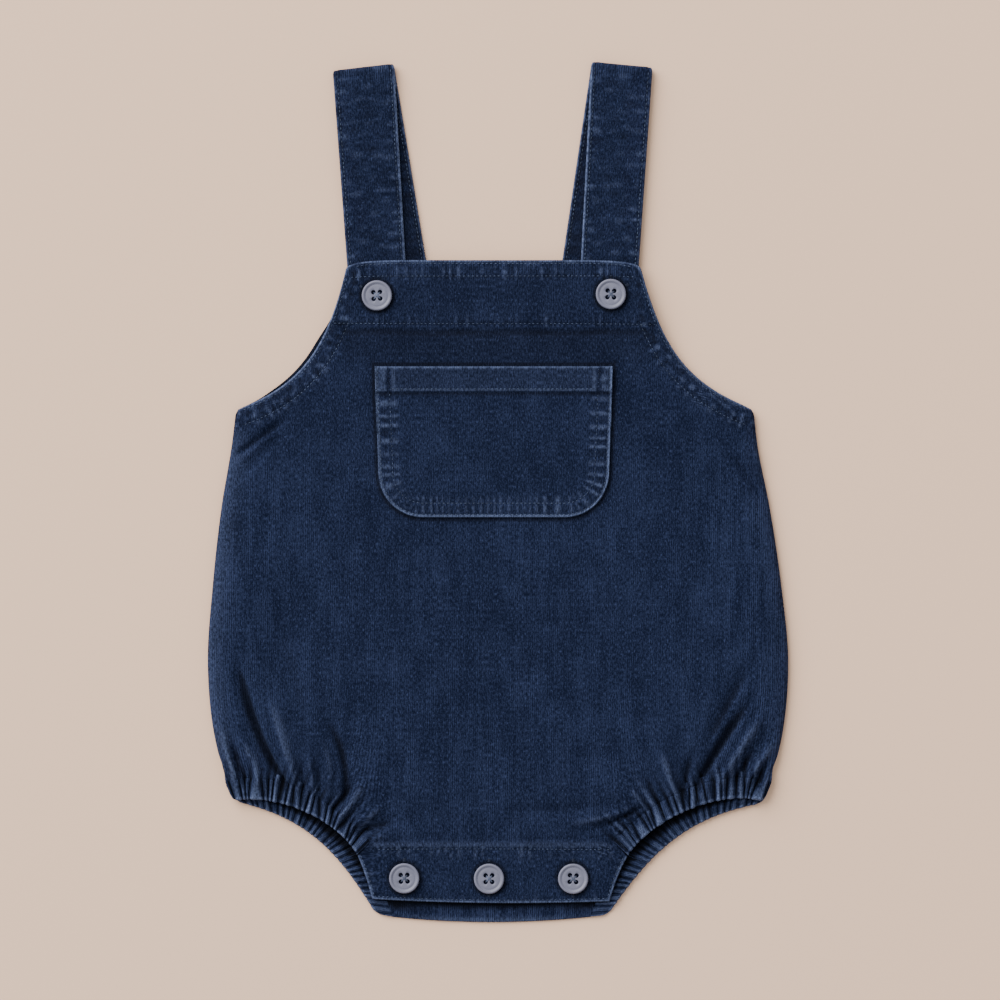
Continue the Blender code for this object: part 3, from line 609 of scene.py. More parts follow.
FOLDS = (
    Fold(-131.0, -74.0, -124.0, -118.0, -105.0, -146.0, 1.2, 3.4, -4.6),
    Fold(-117.0, -92.0, -110.0, -120.0, -100.5, -147.0, 4.5, 1.2, 2.2),
    Fold(-139.5, -108.0, -137.3, -133.0, -127.5, -147.0, 2.4, 1.3, 2.4),
    Fold(-132.5, -119.0, -131.0, -136.0, -124.5, -147.0, 1.8, 2.4, -2.8),
    Fold(-129.5, -120.0, -120.5, -138.0, -118.5, -147.0, 2.6, 1.2, 2.6),
    Fold(-99.0, -132.0, -97.5, -140.0, -97.5, -150.0, 1.5, 2.2, -2.2),
    Fold(-96.0, -128.0, -92.5, -139.0, -92.5, -151.0, 2.2, 1.4, 1.9),
    Fold(-91.5, -130.0, -88.5, -141.0, -89.5, -153.0, 1.6, 2.2, -2.0),
    Fold(-95.0, -112.0, -76.0, -137.5, -88.0, -156.0, 1.8, 3.4, 1.3),
    Fold(-92.0, -106.0, -73.0, -127.0, -77.0, -154.0, 3.2, 1.5, -2.7),
    Fold(-64.0, -140.0, -70.0, -152.0, -82.0, -165.0, 2.2, 2.6, 2.3),
    Fold(-69.0, -142.0, -77.0, -153.0, -86.0, -162.0, 1.5, 1.7, -2.4),
    Fold(-54.0, -155.0, -64.0, -161.0, -76.0, -170.0, 1.6, 2.4, 2.1),
    Fold(-46.0, -166.0, -58.0, -164.0, -73.0, -172.0, 1.7, 2.6, -2.3),
    Fold(-50.0, -171.5, -60.0, -171.0, -70.0, -176.0, 1.4, 2.2, 1.5),
    Fold(-112.0, -52.0, -102.0, -84.0, -96.0, -112.0, 5.5, 8.0, -1.3),
    Fold(131.0, -98.0, 109.5, -128.0, 99.5, -148.0, 1.3, 3.4, -4.4),
    Fold(136.0, -104.0, 118.5, -131.0, 108.0, -149.0, 3.2, 1.2, 2.6),
    Fold(131.0, -122.0, 124.0, -136.0, 116.0, -148.0, 1.4, 2.4, -2.9),
    Fold(141.0, -118.0, 131.0, -137.0, 121.0, -147.0, 2.6, 1.3, 2.4),
    Fold(138.5, -130.0, 132.0, -139.0, 126.5, -147.0, 1.5, 1.7, -2.4),
    Fold(140.5, -138.0, 136.0, -143.0, 131.0, -148.0, 1.6, 1.8, 1.6),
    Fold(133.0, -78.0, 119.0, -97.0, 105.0, -126.0, 1.9, 4.5, -2.0),
    Fold(99.0, -126.0, 94.0, -138.0, 93.0, -152.0, 1.5, 2.4, -2.4),
    Fold(78.0, -124.0, 85.0, -137.0, 89.0, -154.0, 2.6, 2.2, 2.3),
    Fold(71.0, -136.0, 77.0, -149.0, 83.0, -160.0, 1.5, 2.4, -2.4),
    Fold(63.0, -142.0, 69.0, -154.0, 78.0, -164.0, 2.2, 2.2, 2.1),
    Fold(57.0, -150.0, 63.0, -159.0, 72.5, -168.0, 1.5, 2.2, -2.1),
    Fold(24.0, -167.5, 48.0, -165.0, 66.0, -158.0, 2.6, 2.4, 1.6),
    Fold(44.0, -169.0, 57.0, -165.5, 70.0, -158.5, 1.3, 1.4, -2.1),
    Fold(0.0, -159.5, 24.0, -160.0, 48.0, -157.0, 3.4, 3.4, -1.2),
    Fold(-99.0, 41.5, -114.0, 30.0, -131.5, 18.0, 1.4, 1.9, -2.2),
    Fold(-105.0, 31.0, -116.0, 20.0, -129.0, 6.0, 1.7, 2.6, -0.9),
    Fold(-106.0, 35.0, -118.0, 25.0, -131.0, 12.5, 1.6, 1.7, 0.9),
    Fold(107.0, 31.0, 121.0, 17.0, 131.5, -4.0, 1.4, 1.9, -1.6),
    Fold(125.0, 27.0, 129.0, 19.0, 133.5, 10.0, 1.3, 1.5, 1.4),
    Fold(66.0, -86.0, 74.0, -100.0, 73.0, -116.0, 7.0, 5.0, -0.9),
)
# How far the wales lean to the right above each leg, by place along x
Lean = namedtuple("Lean", "x width reach")
WALE_LEANS = (Lean(-122.0, 22.0, 10.0), Lean(-76.0, 13.0, -8.0), Lean(116.0, 22.0, -12.0),
              Lean(74.0, 13.0, 6.0))
FLAP_LEFT = ((-64.0, -175.0), (-70.1, -181.6), (-68.0, -186.6), (-65.4, -194.0), (-62.8, -203.3))
FLAP_RIGHT = ((58.0, -175.0), (64.6, -182.0), (61.9, -187.0), (58.8, -194.5), (55.6, -204.4))
FLAP_HEM_BOW = 1.4
FRONT_LEG_COLUMNS = 96
FRONT_FLAP_COLUMNS = 78
FRONT_ROWS = 288
FLAP_ROWS = 40
EDGE_RADIUS = 0.65
SEAM_RADIUS = 0.15
EDGE_TUCK = 3.0
EDGE_STITCH = 1.7
PLEAT_DEPTH = 2.7
PLEAT_MEAN = 0.62
PLEAT_FADE = 6.5
SEAM_DIP = 0.25
FACING_WIDTH = 8.8
# Strength of the painted shade by the pocket's and the buttons' edges
CONTACT_SHADE = -0.75
Wander = namedtuple("Wander", "share pitch seed")
CALM = Wander(0.0, 50.0, 0.0)
# Level strips across the front that stand out, or that are darkened with
# painted shade: where their middle is, how far they reach, the power of their
# fall, and how their middle and their strength drift along x.
Strip = namedtuple("Strip", "x y half_width half_height power drift uneven rise wear")
FRONT_STRIPS = {
    "ridge over the crotch row": Strip(-3.0, -176.4, 60.0, 1.6, 2, CALM, CALM, 0.35, 0.18),
    "edge of the bib's facing": Strip(0.0, 82.2, 78.0, 0.9, 2, CALM, Wander(0.3, 37.0, 3.0),
                                      0.30, 0.12),
    "shade below the facing": Strip(0.0, 79.6, 78.0, 1.7, 2, Wander(0.6, 61.0, 1.0),
                                    Wander(0.3, 37.0, 3.0), -0.35, -0.35),
    # Painted shade over the pocket, below the bib's facing
    "painted shade over the pocket": Strip(0.0, 73.0, 78.0, 8.0, 4, CALM, CALM, 0.0, -0.13),
}

# Where the pocket and the buttons lie on the front
POCKET_TOP = 62.7
POCKET_FOOT = -12.7
POCKET_MIDDLE = -2.1
POCKET_HALF_TOP = 59.3
POCKET_HALF_FOOT = 57.4
POCKET_CORNER = 22.0
ButtonPlace = namedtuple("ButtonPlace", "x y turn")
BUTTONS = {
    "button_bib_left": ButtonPlace(-60.4, 98.0, 0.05),
    "button_bib_right": ButtonPlace(56.3, 98.7, -0.04),
    "button_crotch_left": ButtonPlace(-46.8, -192.8, 0.03),
    "button_crotch_middle": ButtonPlace(-4.5, -193.0, 0.0),
    "button_crotch_right": ButtonPlace(37.5, -193.0, -0.05),
}
BUTTON_RADIUS = 7.6

# A stitched line that draws the cloth in: how far its puckers reach on each
# side, their pitch and height, and how deep the thread sinks.
Seam = namedtuple("Seam", "path left right pitch pucker sink seed")
NEAR = 16.0


def through_rows(y, rows, column):
    """A table's column at height y, eased from each row to the next."""
    value = np.full_like(y, getattr(rows[0], column))
    for above, below in zip(rows, rows[1:]):
        change = getattr(below, column) - getattr(above, column)
        value = value + change * (1 - ease(y, below.height, above.height))
    return value


def resample(path, gap):
    """Points at even gaps along a path."""
    path = np.asarray(path, dtype=float)
    run = np.concatenate([[0.0], np.cumsum(np.hypot(*np.diff(path, axis=0).T))])
    places = np.linspace(0.0, run[-1], max(2, int(run[-1] / gap) + 1))
    return np.stack([np.interp(places, run, path[:, k]) for k in range(2)], axis=1)


def beside(x, y, path):
    """Where points lie by a path: across it, positive to the left of its run,
    along it from its start, and how little they lie past its two ends, from 1
    down to 0. Points further than NEAR get 99 across."""
    line = resample(path, 0.7)
    gap = np.hypot(*(line[1] - line[0]))
    way = np.gradient(line, axis=0)
    way /= np.hypot(way[:, 0], way[:, 1])[:, None]
    across, along, on = np.full(x.shape, 99.0), np.zeros(x.shape), np.zeros(x.shape)
    low, high = line.min(axis=0) - NEAR, line.max(axis=0) + NEAR
    near = np.flatnonzero(((x > low[0]) & (x < high[0]) & (y > low[1]) & (y < high[1])).ravel())
    plan = np.stack([x.ravel()[near], y.ravel()[near]], axis=1).astype(np.float32)
    line32 = line.astype(np.float32)
    for start in range(0, len(near), 6000):
        spots = near[start:start + 6000]
        some = plan[start:start + 6000]
        k = ((some[:, None, :] - line32[None]) ** 2).sum(axis=-1).argmin(axis=1)
        off = some - line[k]
        across.flat[spots] = way[k, 0] * off[:, 1] - way[k, 1] * off[:, 0]
        ahead = (way[k] * off).sum(axis=1)
        along.flat[spots] = gap * k + np.clip(ahead, -gap, gap)
        past = np.clip(np.abs(ahead) - gap, 0.0, None) * ((k == 0) | (k == len(line) - 1))
        on.flat[spots] = np.exp(-(past / 2.2) ** 2)
    return across, along, on


def drawn_in(x, y, seam):
    """Height and wear that a seam gives the cloth: puckers across its line, of
    uneven pitch and strength, and a narrow groove where the thread sinks. The
    wear is pale on the puckers' crests and painted shade in their troughs and
    along the groove."""
    across, along, on = beside(x, y, seam.path)
    phase = along / seam.pitch + 0.42 * wander(along, 4.1 * seam.pitch, seam.seed)
    strength = np.clip(0.60 + 0.8 * wander(along, 5.3 * seam.pitch, seam.seed + 3), 0.0, 1.3)
    crest = np.cos(2 * np.pi * phase)
    reach = np.where(across > 0, seam.left, seam.right)
    fade = np.exp(-np.abs(across / reach) ** 3) * on
    groove = bell(across, 0.0, 0.55) * on
    height = seam.pucker * strength * crest * fade - seam.sink * groove
    wear = (np.clip(crest, 0, 1) ** 1.5 - 0.5 * np.clip(-crest, 0, 1)) * strength * fade
    return height, wear - 0.5 * groove


def offset(path, distance):
    """A path moved to its left by a distance."""
    way = np.gradient(path, axis=0)
    way /= np.hypot(way[:, 0], way[:, 1])[:, None]
    return path + distance * np.stack([-way[:, 1], way[:, 0]], axis=1)


def fold_height(x, y):
    """Sum of the folds: each a soft ridge or trough along its curve, thin at
    its start, with its own width on the left and on the right of its run."""
    total = np.zeros_like(x)
    t = np.linspace(0.0, 1.0, 24)
    for fold in FOLDS:
        path = np.stack([(1 - t) ** 2 * fold.x0 + 2 * t * (1 - t) * fold.x1 + t ** 2 * fold.x2,
                         (1 - t) ** 2 * fold.y0 + 2 * t * (1 - t) * fold.y1 + t ** 2 * fold.y2],
                        axis=1)
        across, along, on = beside(x, y, path)
        run = along / np.hypot(*np.diff(path, axis=0).T).sum()
        width = np.where(across > 0, fold.left, fold.right) * (0.75 + 0.5 * (1 - run))
        taper = ease(run, 0.0, 0.5) * (1 - 0.5 * ease(run, 0.84, 1.0)) * on
        total += fold.height * taper * np.exp(-np.abs(across / width) ** 1.8)
    return total


def fold_wear_and_shade(x, y):
    """Wear of the folds: rubbed pale along the ridges, painted shade down in the troughs."""
    folds = fold_height(x, y)
    return 0.25 * ease(folds, 0.6, 2.2) - 0.70 * ease(-folds, 0.8, 2.8)


def pleats(run, across, casing):
    """Gathers along a casing, 0 in the valleys to 1 on the crests: a power of
    a rectified cosine, round on top and sharp below. The pleats lean, and
    their pitch and height drift. run and across go from 0 to 1."""
    place, seed = run * casing.pleats, casing.seed
    drift = 0.30 if casing.level else 0.12
    phase = place + drift * wander(place, 3.3, seed)
    phase = phase + 2 * drift * across * wander(place, 4.6, seed + 5)
    ridge = np.abs(np.cos(np.pi * phase)) ** 0.85
    return ridge * (0.78 + 0.22 * wander(place, 2.7, seed + 2))


def front_seams():
    """The stitched lines of the front, each with its own puckers."""
    seams = {
        "bib_top": Seam([(-74.0, 107.0), (-60.0, 107.7), (0.0, 107.8), (57.0, 107.8),
                         (69.5, 107.2)], 5.4, 2.0, 4.6, 0.26, 0.30, 1.0),
        "bib_foot": Seam([(-82.5, 84.2), (-40.0, 84.0), (40.0, 84.0), (80.5, 83.6)],
                         5.0, 1.4, 4.2, 0.18, 0.26, 2.0),
        "crotch": Seam([(-60.5, -178.4), (-20.0, -178.2), (20.0, -178.3), (57.0, -178.6)],
                       1.8, 4.6, 3.8, 0.24, 0.30, 3.0),
    }
    for side, turn in (("left", 1), ("right", -1)):
        armhole = bezier(ARMHOLES[side], 80)
        line = offset(armhole, FACING_WIDTH * turn)
        line = line[line[:, 1] < 84.5]
        puff, calm = (2.4, 6.2) if side == "left" else (6.2, 2.4)
        seams["armhole_" + side] = Seam(line, puff, calm, 5.2, 0.30, 0.25, 4.0 + turn)
    hem = flap_rim(1.5)
    seams["flap_hem"] = Seam(hem, 2.2, 2.2, 5.5, 0.12, 0.22, 7.0)
    return seams


def flap_rim(inset):
    """The flap's outline from its left top corner round to its right one."""
    across = np.linspace(0.0, 1.0, 30)
    bow = FLAP_HEM_BOW * 4 * across * (1 - across)
    (x0, y0), (x1, y1) = FLAP_LEFT[-1], FLAP_RIGHT[-1]
    hem = np.stack([x0 + (x1 - x0) * across, y0 + (y1 - y0) * across - bow], axis=1)
    down, up = np.array(FLAP_LEFT[1:-1]), np.array(FLAP_RIGHT[-2:0:-1])
    rim = np.vstack([down, hem, up])
    path = resample(rim, 1.0)
    return offset(path, inset)


def bib_rise(share):
    """How far the bib's top stands over its corners: a flat superellipse of
    power 8 from share 0 at the left corner to share 1 at the right one."""
    return BIB_CORNER_RISE * np.sqrt(1 - np.abs(2 * share - 1) ** 8)


def bib_rim():
    """The bib's top edge from its left corner to its right one."""
    share = np.linspace(0.0, 1.0, 100)
    left, right = ARMHOLES["left"].x0, ARMHOLES["right"].x0
    return np.stack([left + (right - left) * share, ARMHOLE_TOP + bib_rise(share)], axis=1)


def pocket_half(y):
    """Half width of the pocket at height y, above its round corners."""
    return POCKET_HALF_FOOT + (POCKET_HALF_TOP - POCKET_HALF_FOOT) * ease(y, 0.0, POCKET_TOP)


def pocket_rim(inset):
    """The sewn edge, from the left top corner down and round to the right."""
    radius = POCKET_CORNER - inset
    half = POCKET_HALF_FOOT - inset
    angle = np.linspace(0.0, math.pi / 2, 30)
    side_y = np.linspace(POCKET_TOP, POCKET_FOOT + inset + radius, 60)
    side = np.stack([-(pocket_half(side_y) - inset), side_y], axis=1)
    corner = np.stack([-half + radius * (1 - np.cos(angle)),
                       POCKET_FOOT + inset + radius * (1 - np.sin(angle))], axis=1)
    left = np.vstack([side, corner[1:]])
    right = left[::-1] * [-1.0, 1.0]
    return np.vstack([left, right]) + [POCKET_MIDDLE, 0.0]


def contact_shade_line(x, y):
    """1 in the narrow line of painted shade that the pocket's edges, its mouth
    and the buttons' edges throw on the front, and 0 away from it."""
    across, _, on = beside(x, y, pocket_rim(0.0))
    line = bell(across, -0.9, 0.8) * on
    above = bell(y, POCKET_TOP + 1.0, 0.9)
    line = np.maximum(line, above * (np.abs(x - POCKET_MIDDLE) < POCKET_HALF_TOP))
    for place in BUTTONS.values():
        apart = np.hypot(x - place.x, y - place.y)
        line = np.maximum(line, bell(apart, BUTTON_RADIUS + 0.5, 1.0))
    return line


def inside_edges(x, y):
    """How far points lie inside the nearer side of the outline."""
    return np.minimum(x - body_edge(y, "left"), body_edge(y, "right") - x)


def front_rest(x, y):
    """The front's outer face without its stitching: the level, the fullness,
    which rises from the sides by a quarter circle, the sag between the bib's
    buttons, its thicker band, the folds and two sizes of soft hills."""
    level = through_rows(y, FULLNESS, "level")
    fullness = through_rows(y, FULLNESS, "fullness")
    from_side = inside_edges(x, y)
    reach = np.clip(from_side / EDGE_ROUNDING, 0.0, 1.0)
    rise = np.sqrt(1 - (1 - reach) ** 2)
    sag = BIB_SAG * ease(y, 84.0, 96.0) * (1 - ease(np.abs(x + 2.0), 8.0, 38.0))
    band = BIB_BAND_RISE * ease(y, BIB_BAND_FOOT - 0.9, BIB_BAND_FOOT + 0.5)
    soft = 0.40 * swell(x, y, 58.0, 1.0) + 0.16 * swell(x, y, 21.0, 2.0)
    soft = soft * ease(from_side, 0.0, 12.0)
    folds = fold_height(x, y) * (0.35 + 0.65 * rise)
    return level + fullness * rise - sag + folds + soft + CLOTH + band


def armhole_face(x, y, side, turn):
    """Height and wear by an armhole: a pale rolled edge, a groove inside it,
    blotches as far as the facing reaches, and a painted highlight down the
    side, strong on the left side, which faces the lamp, and faint on the right."""
    rim = beside(x, y, bezier(ARMHOLES[side], 120))[0] * turn
    groove = bell(rim, EDGE_STITCH, 0.45)
    faced = ease(rim, 1.4, 2.4) * (1 - ease(rim, FACING_WIDTH - 1.2, FACING_WIDTH))
    blotches = 0.50 * swell(x, y, 5.2, 5.0 + turn) - 0.08
    from_side = (x - body_edge(y, side)) * turn
    lit = 0.17 if side == "left" else 0.04
    lit = lit * bell(from_side, 0.0, 7.0) * ease(-y, -38.0, -20.0)
    return -0.22 * groove, 0.85 * bell(rim, 0.0, 0.8) + blotches * faced + lit


def strip_face(x, y, strip):
    """How strongly a level strip shows: 1 in its middle, falling by e to the
    minus its power, times its drifting strength."""
    middle = strip.y + strip.drift.share * wander(x, strip.drift.pitch, strip.drift.seed)
    strength = 1.0 + strip.uneven.share * wander(x, strip.uneven.pitch, strip.uneven.seed)
    fall = bell(y, middle, strip.half_height, strip.power)
    return fall * strength * (np.abs(x - strip.x) < strip.half_width)


def front_face(x, y):
    """Height and wear of the front with puckers, gathers and rubbed edges, and
    painted shade in the folds' troughs, in the valleys of puckers and gathers,
    by the edges of the pocket and the buttons and below the bib's facing.
    """
    height = front_rest(x, y)
    # Painted shade in the folds' troughs and by the pocket's and buttons' edges
    wear = fold_wear_and_shade(x, y) + CONTACT_SHADE * contact_shade_line(x, y)
    for seam in FRONT_SEAMS.values():
        lift, rubbed = drawn_in(x, y, seam)
        height = height + lift
        wear = wear + 0.34 * rubbed * np.minimum(seam.pucker / 0.25, 1.2)
    for side, turn in (("left", 1), ("right", -1)):
        gather, fade, seam = gathered(x, y, CASINGS["leg_casing_front_" + side], turn)
        lift, rubbed = armhole_face(x, y, side, turn)
        height = height + PLEAT_DEPTH * (gather - PLEAT_MEAN) * fade - SEAM_DIP * seam + lift
        # Gathers' crests are rubbed pale, and painted shade lies in their valleys
        crest, valley = ease(gather, 0.6, 1.0), 1 - ease(gather, 0.2, 0.6)
        wear = wear + (0.55 * crest - 0.85 * valley) * fade + rubbed
    for edge in (bib_rim(), flap_rim(0.0)):
        wear = wear + 0.6 * bell(beside(x, y, edge)[0], 0.0, 0.9)
    for strip in FRONT_STRIPS.values():
        share = strip_face(x, y, strip)
        height, wear = height + strip.rise * share, wear + strip.wear * share
    wear = wear + 0.26 * swell(x, 1.3 * y, 8.5, 2.0) * ease(y, 108.6, 109.6)
    return height, wear - 0.06 * ease(y, 60.0, 80.0)


def gathered(x, y, casing, turn):
    """The pleats that a casing sets in the panel beside it, how they fade over
    the next millimetres, some further than others, and how near its seam is."""
    path = bezier(casing.inner, 120)
    across, along, on = beside(x, y, path)
    lengths = np.concatenate([[0.0], np.cumsum(np.hypot(*np.diff(path, axis=0).T))])
    run = np.interp(along, lengths, np.linspace(0.0, 1.0, 121))
    gather = pleats(run, 0.0, casing)
    apart = np.where(across > 98, 99.0, across * turn)
    reach = PLEAT_FADE * (1.0 + 0.55 * wander(run * casing.pleats, 2.3, casing.seed + 9))
    fade = np.exp(-(np.clip(apart, 0.0, None) / reach) ** 1.3) * on
    return gather, fade, bell(apart, 0.0, 0.7) * on


def front_cloth(x, y):
    """The front's cloth map: plan x and y, with the wales leaning into the
    folds above the casings."""
    lean = sum(row.reach * bell(x, row.x, row.width) for row in WALE_LEANS)
    down = np.clip((-92.0 - y) / 56.0, 0.0, 1.4) ** 1.6
    return np.stack([x - lean * down, y], axis=-1)


def front_rib(x, y):
    """How clearly the front's wales stand: faint over the bib, clearer down the
    body, most of all by its sides and above the legs, faint again on the flap,
    and clear in the narrow strip over the bib's top row of stitching."""
    near_side = bell(inside_edges(x, y), 0.0, 26.0)
    rib = 0.35 + ease(-y, -48.0, 10.0) * (0.30 + 0.90 * near_side) + 0.25 * ease(-y, 90.0, 150.0)
    return rib * (1 - 0.6 * ease(-y, 176.0, 180.0)) + 0.7 * ease(y, 107.0, 109.0)


def front_sheet():
    """The body's rows and the flap's rows as one grid, without the corners
    beside the flap, its rim rolled under and hardly so at the casings' seams.
    Its sides are drawn in a little above the casings."""
    left, right = leg_edges("front", FRONT_LEG_COLUMNS)
    middle = np.linspace(left[-1], right[0], FRONT_FLAP_COLUMNS + 1)
    foot = np.vstack([left, middle[1:-1], right])
    share = np.linspace(0.0, 1.0, len(foot))
    fall = np.linspace(0.0, 1.0, FRONT_ROWS)
    fall = fall + 0.10 * np.sin(np.pi * fall) * fall
    heights = ARMHOLE_TOP + (left[0, 1] - ARMHOLE_TOP) * fall
    x, y = panel_plan(heights, foot, share)
    near_top = np.clip((heights - RISE_FOOT) / (ARMHOLE_TOP - RISE_FOOT), 0.0, 1.0)
    y = y + near_top[:, None] * bib_rise(share)

    place = np.arange(len(foot)) - FRONT_LEG_COLUMNS
    across = np.clip(place / FRONT_FLAP_COLUMNS, 0.0, 1.0)
    drop = np.linspace(0.0, 1.0, FLAP_ROWS + 1)[1:, None]
    knots = np.linspace(0.0, 1.0, len(FLAP_LEFT))
    sides = np.array(FLAP_LEFT), np.array(FLAP_RIGHT)
    ends = [np.interp(drop[:, 0], knots, side[:, k])[:, None] for side in sides for k in (0, 1)]
    x_flap = ends[0] + (ends[2] - ends[0]) * across
    sag = FLAP_HEM_BOW * 4 * across * (1 - across) * drop
    y_flap = ends[1] + (ends[3] - ends[1]) * across - sag
    x, y = np.vstack([x, x_flap]), np.vstack([y, y_flap])

    for side, turn in (("left", 1), ("right", -1)):
        from_side = np.abs(x - body_edge(y, side))
        notch = np.exp(-((y - NOTCH_HEIGHT) / NOTCH_REACH) ** 2 - from_side / NOTCH_FADE)
        x = x + turn * NOTCH_DEPTH * notch * (y > NOTCH_FOOT)

    rows, columns = x.shape
    body_last, flap0 = FRONT_ROWS - 1, FRONT_LEG_COLUMNS
    flap1 = flap0 + FRONT_FLAP_COLUMNS
    keep = np.zeros((rows - 1, columns - 1), dtype=bool)
    keep[:body_last] = True
    keep[body_last:, flap0:flap1] = True
    height, wear = front_face(x, y)
    points = np.stack([x, y, height], axis=-1).reshape(-1, 3)

    index = np.arange(rows * columns).reshape(rows, columns)
    loop = np.concatenate([
        index[:body_last, 0], index[body_last, :flap0], index[body_last:-1, flap0],
        index[-1, flap0:flap1], index[:body_last:-1, flap1], index[body_last, flap1:-1],
        index[body_last:0:-1, -1], index[0, :0:-1]])
    end_rows = slice(body_last, body_last + FLAP_ROWS // (len(FLAP_LEFT) - 1))
    at_seam = np.isin(loop, np.concatenate([
        index[body_last, :flap0 + 1], index[body_last, flap1:],
        index[end_rows, flap0], index[end_rows, flap1]]))
    radius = np.where(at_seam, SEAM_RADIUS, EDGE_RADIUS)
    points, rim, hangs_from = roll_edge(points, loop, radius, EDGE_TUCK)
    faces = np.vstack([grid_faces(rows, columns, keep), rim])
    wear = np.concatenate([wear.ravel(), wear.ravel()[hangs_from]])

    used, faces = np.unique(faces, return_inverse=True)
    points, wear = points[used], wear[used]
    x, y = points[:, 0], points[:, 1]
    return cloth_piece("front", points, faces.reshape(-1, 4), front_cloth(x, y), wear,
                       BODY_CORD, front_rib(x, y))


FRONT_SEAMS = front_seams()
front = front_sheet()
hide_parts("front_panel")


# ============================================================ the stitching
# Rows of topstitching in a greyed blue thread, about twelve stitches to 25 mm.
# Each stitch is a short bent capsule whose ends dive into the cloth.

STITCH_PITCH = 2.15
STITCH_LENGTH = 1.35
STITCH_START = 0.6
STITCH_ARCH = 0.26
STITCH_SINK = 0.10
THREAD_RADIUS = 0.15
THREAD_BLUE = (0.057, 0.079, 0.138)


def solid_noise(tree, times, detail):
    """Noise through a piece's own space, times a metre each way."""
    place = tree.nodes.new("ShaderNodeTexCoord").outputs["Object"]
    place = step(tree, "ShaderNodeVectorMath", place, (times,) * 3, operation="MULTIPLY")
    return speckle(tree, place, detail)


def thread_material(name, colour):
    """Twisted cotton thread: patches from dark to pale under a fine fuzz."""
    material, tree, shader = new_material(name, 0.7, 0.25)
    fuzz = solid_noise(tree, 3000.0, 2.0)
    patch = solid_noise(tree, 90.0, 1.0)
    dark = tuple(0.45 * c for c in colour)
    pale = tuple(min(1.0, 1.35 * c) for c in colour)
    tone = blend_colour(tree, spread(tree, patch, 0.35, 0.65), dark, pale)
    tone = blend_colour(tree, maths(tree, "MULTIPLY", fuzz, 0.5), tone, colour)
    tree.links.new(tone, shader.inputs["Base Color"])
    bumped(tree, shader, fuzz, 0.05)
    return material


def capsules(start, end, lift, radius, stations=5, sides=6):
    """Bent capsules from start to end points: rings of a tube that rises by
    lift in its middle and shrinks at its two ends."""
    t = np.linspace(0.0, 1.0, stations)[None, :, None]
    start, end = start[:, None, :], end[:, None, :]
    middle = start + (end - start) * t
    middle = middle + np.array([0.0, 0.0, 1.0]) * lift[:, None, None] * np.sin(math.pi * t)
    along = end - start
    along = along / np.linalg.norm(along, axis=-1, keepdims=True)
    sideways = np.cross(along, [0.0, 0.0, 1.0])
    sideways = sideways / np.linalg.norm(sideways, axis=-1, keepdims=True)
    upward = np.cross(sideways, along)
    fat = radius * np.sqrt(np.clip(1 - (2 * np.linspace(0, 1, stations) - 1) ** 6, 0.05, 1))
    turn = np.linspace(0.0, 2 * math.pi, sides, endpoint=False)
    ring = (np.cos(turn)[:, None] * sideways[:, :, None, :]
            + np.sin(turn)[:, None] * upward[:, :, None, :])
    points = middle[:, :, None, :] + fat[None, :, None, None] * ring
    count = len(points)
    index = np.arange(count * stations * sides).reshape(count, stations, sides)
    onward = np.roll(index, -1, axis=2)
    quads = np.stack([index[:, :-1], index[:, 1:], onward[:, 1:], onward[:, :-1]], axis=-1)
    faces = quads.reshape(-1, 4)[:, ::-1].tolist()
    faces += index[:, 0].tolist() + index[:, -1, ::-1].tolist()
    return points.reshape(-1, 3), faces


def thread_piece(name, runs, material, radius=THREAD_RADIUS):
    """One mesh of many stitches. runs holds (start points, end points, lift)."""
    start = np.vstack([run[0] for run in runs])
    end = np.vstack([run[1] for run in runs])
    lift = np.concatenate([np.full(len(run[0]), run[2]) for run in runs])
    points, faces = capsules(start, end, lift, radius)
    return cloth_piece(name, points, faces, points[:, :2], np.zeros(len(points)), material)


def stitched(path, height):
    """Start and end points of the stitches along a path over a surface."""
    line = resample(path, 0.3)
    run = 0.3 * np.arange(len(line))
    starts = np.arange(STITCH_START, run[-1] - STITCH_LENGTH, STITCH_PITCH)
    jitter = 0.15 * wander(starts, 9.0, 2.0)
    ends = []
    for places in (starts + jitter, starts + jitter + STITCH_LENGTH):
        x, y = np.interp(places, run, line[:, 0]), np.interp(places, run, line[:, 1])
        ends.append(np.stack([x, y, height(x, y) - STITCH_SINK], axis=1))
    return ends[0], ends[1], STITCH_ARCH


def front_top(x, y):
    """Height of the front's outer face."""
    return front_face(x, y)[0]


THREAD = thread_material("topstitch_thread", THREAD_BLUE)
front_paths = [seam.path for seam in FRONT_SEAMS.values()]
front_paths.append(offset(bib_rim()[3:-3], -EDGE_STITCH))
front_paths += [offset(bezier(ARMHOLES[side], 80)[3:-2], turn * EDGE_STITCH)
                for side, turn in (("left", 1), ("right", -1))]
front_runs = [stitched(path, front_top) for path in front_paths]
thread_piece("front_stitching", front_runs, THREAD)


# =============================================================== the pocket
# A patch pocket of the same needlecord: a turned hem along its top, edges
# turned in and sewn down in two rows, round lower corners.

POCKET_HEM_FOOT = 50.0
POCKET_HEM_RISE = 0.9
POCKET_GAP = 0.3
POCKET_CLOTH = 1.0
POCKET_GRID = (100, 30, 96)
POCKET_ROWS = (1.4, 7.1)
HEM_STITCH = POCKET_HEM_FOOT + 1.4
HEM_STITCH_HALF = 51.5
POCKET_EDGE = 0.6
MOUTH_HALF = 59.0
POCKET_RIB = 0.45
# The puckering bars lie by the two rows. Their pitch is finer along the foot,
# which is the middle of the rim's run.
BAR_PITCH = 6.2
FOOT_BAR_PITCH = 3.6
FOOT_RUN = (72.0, 149.0)


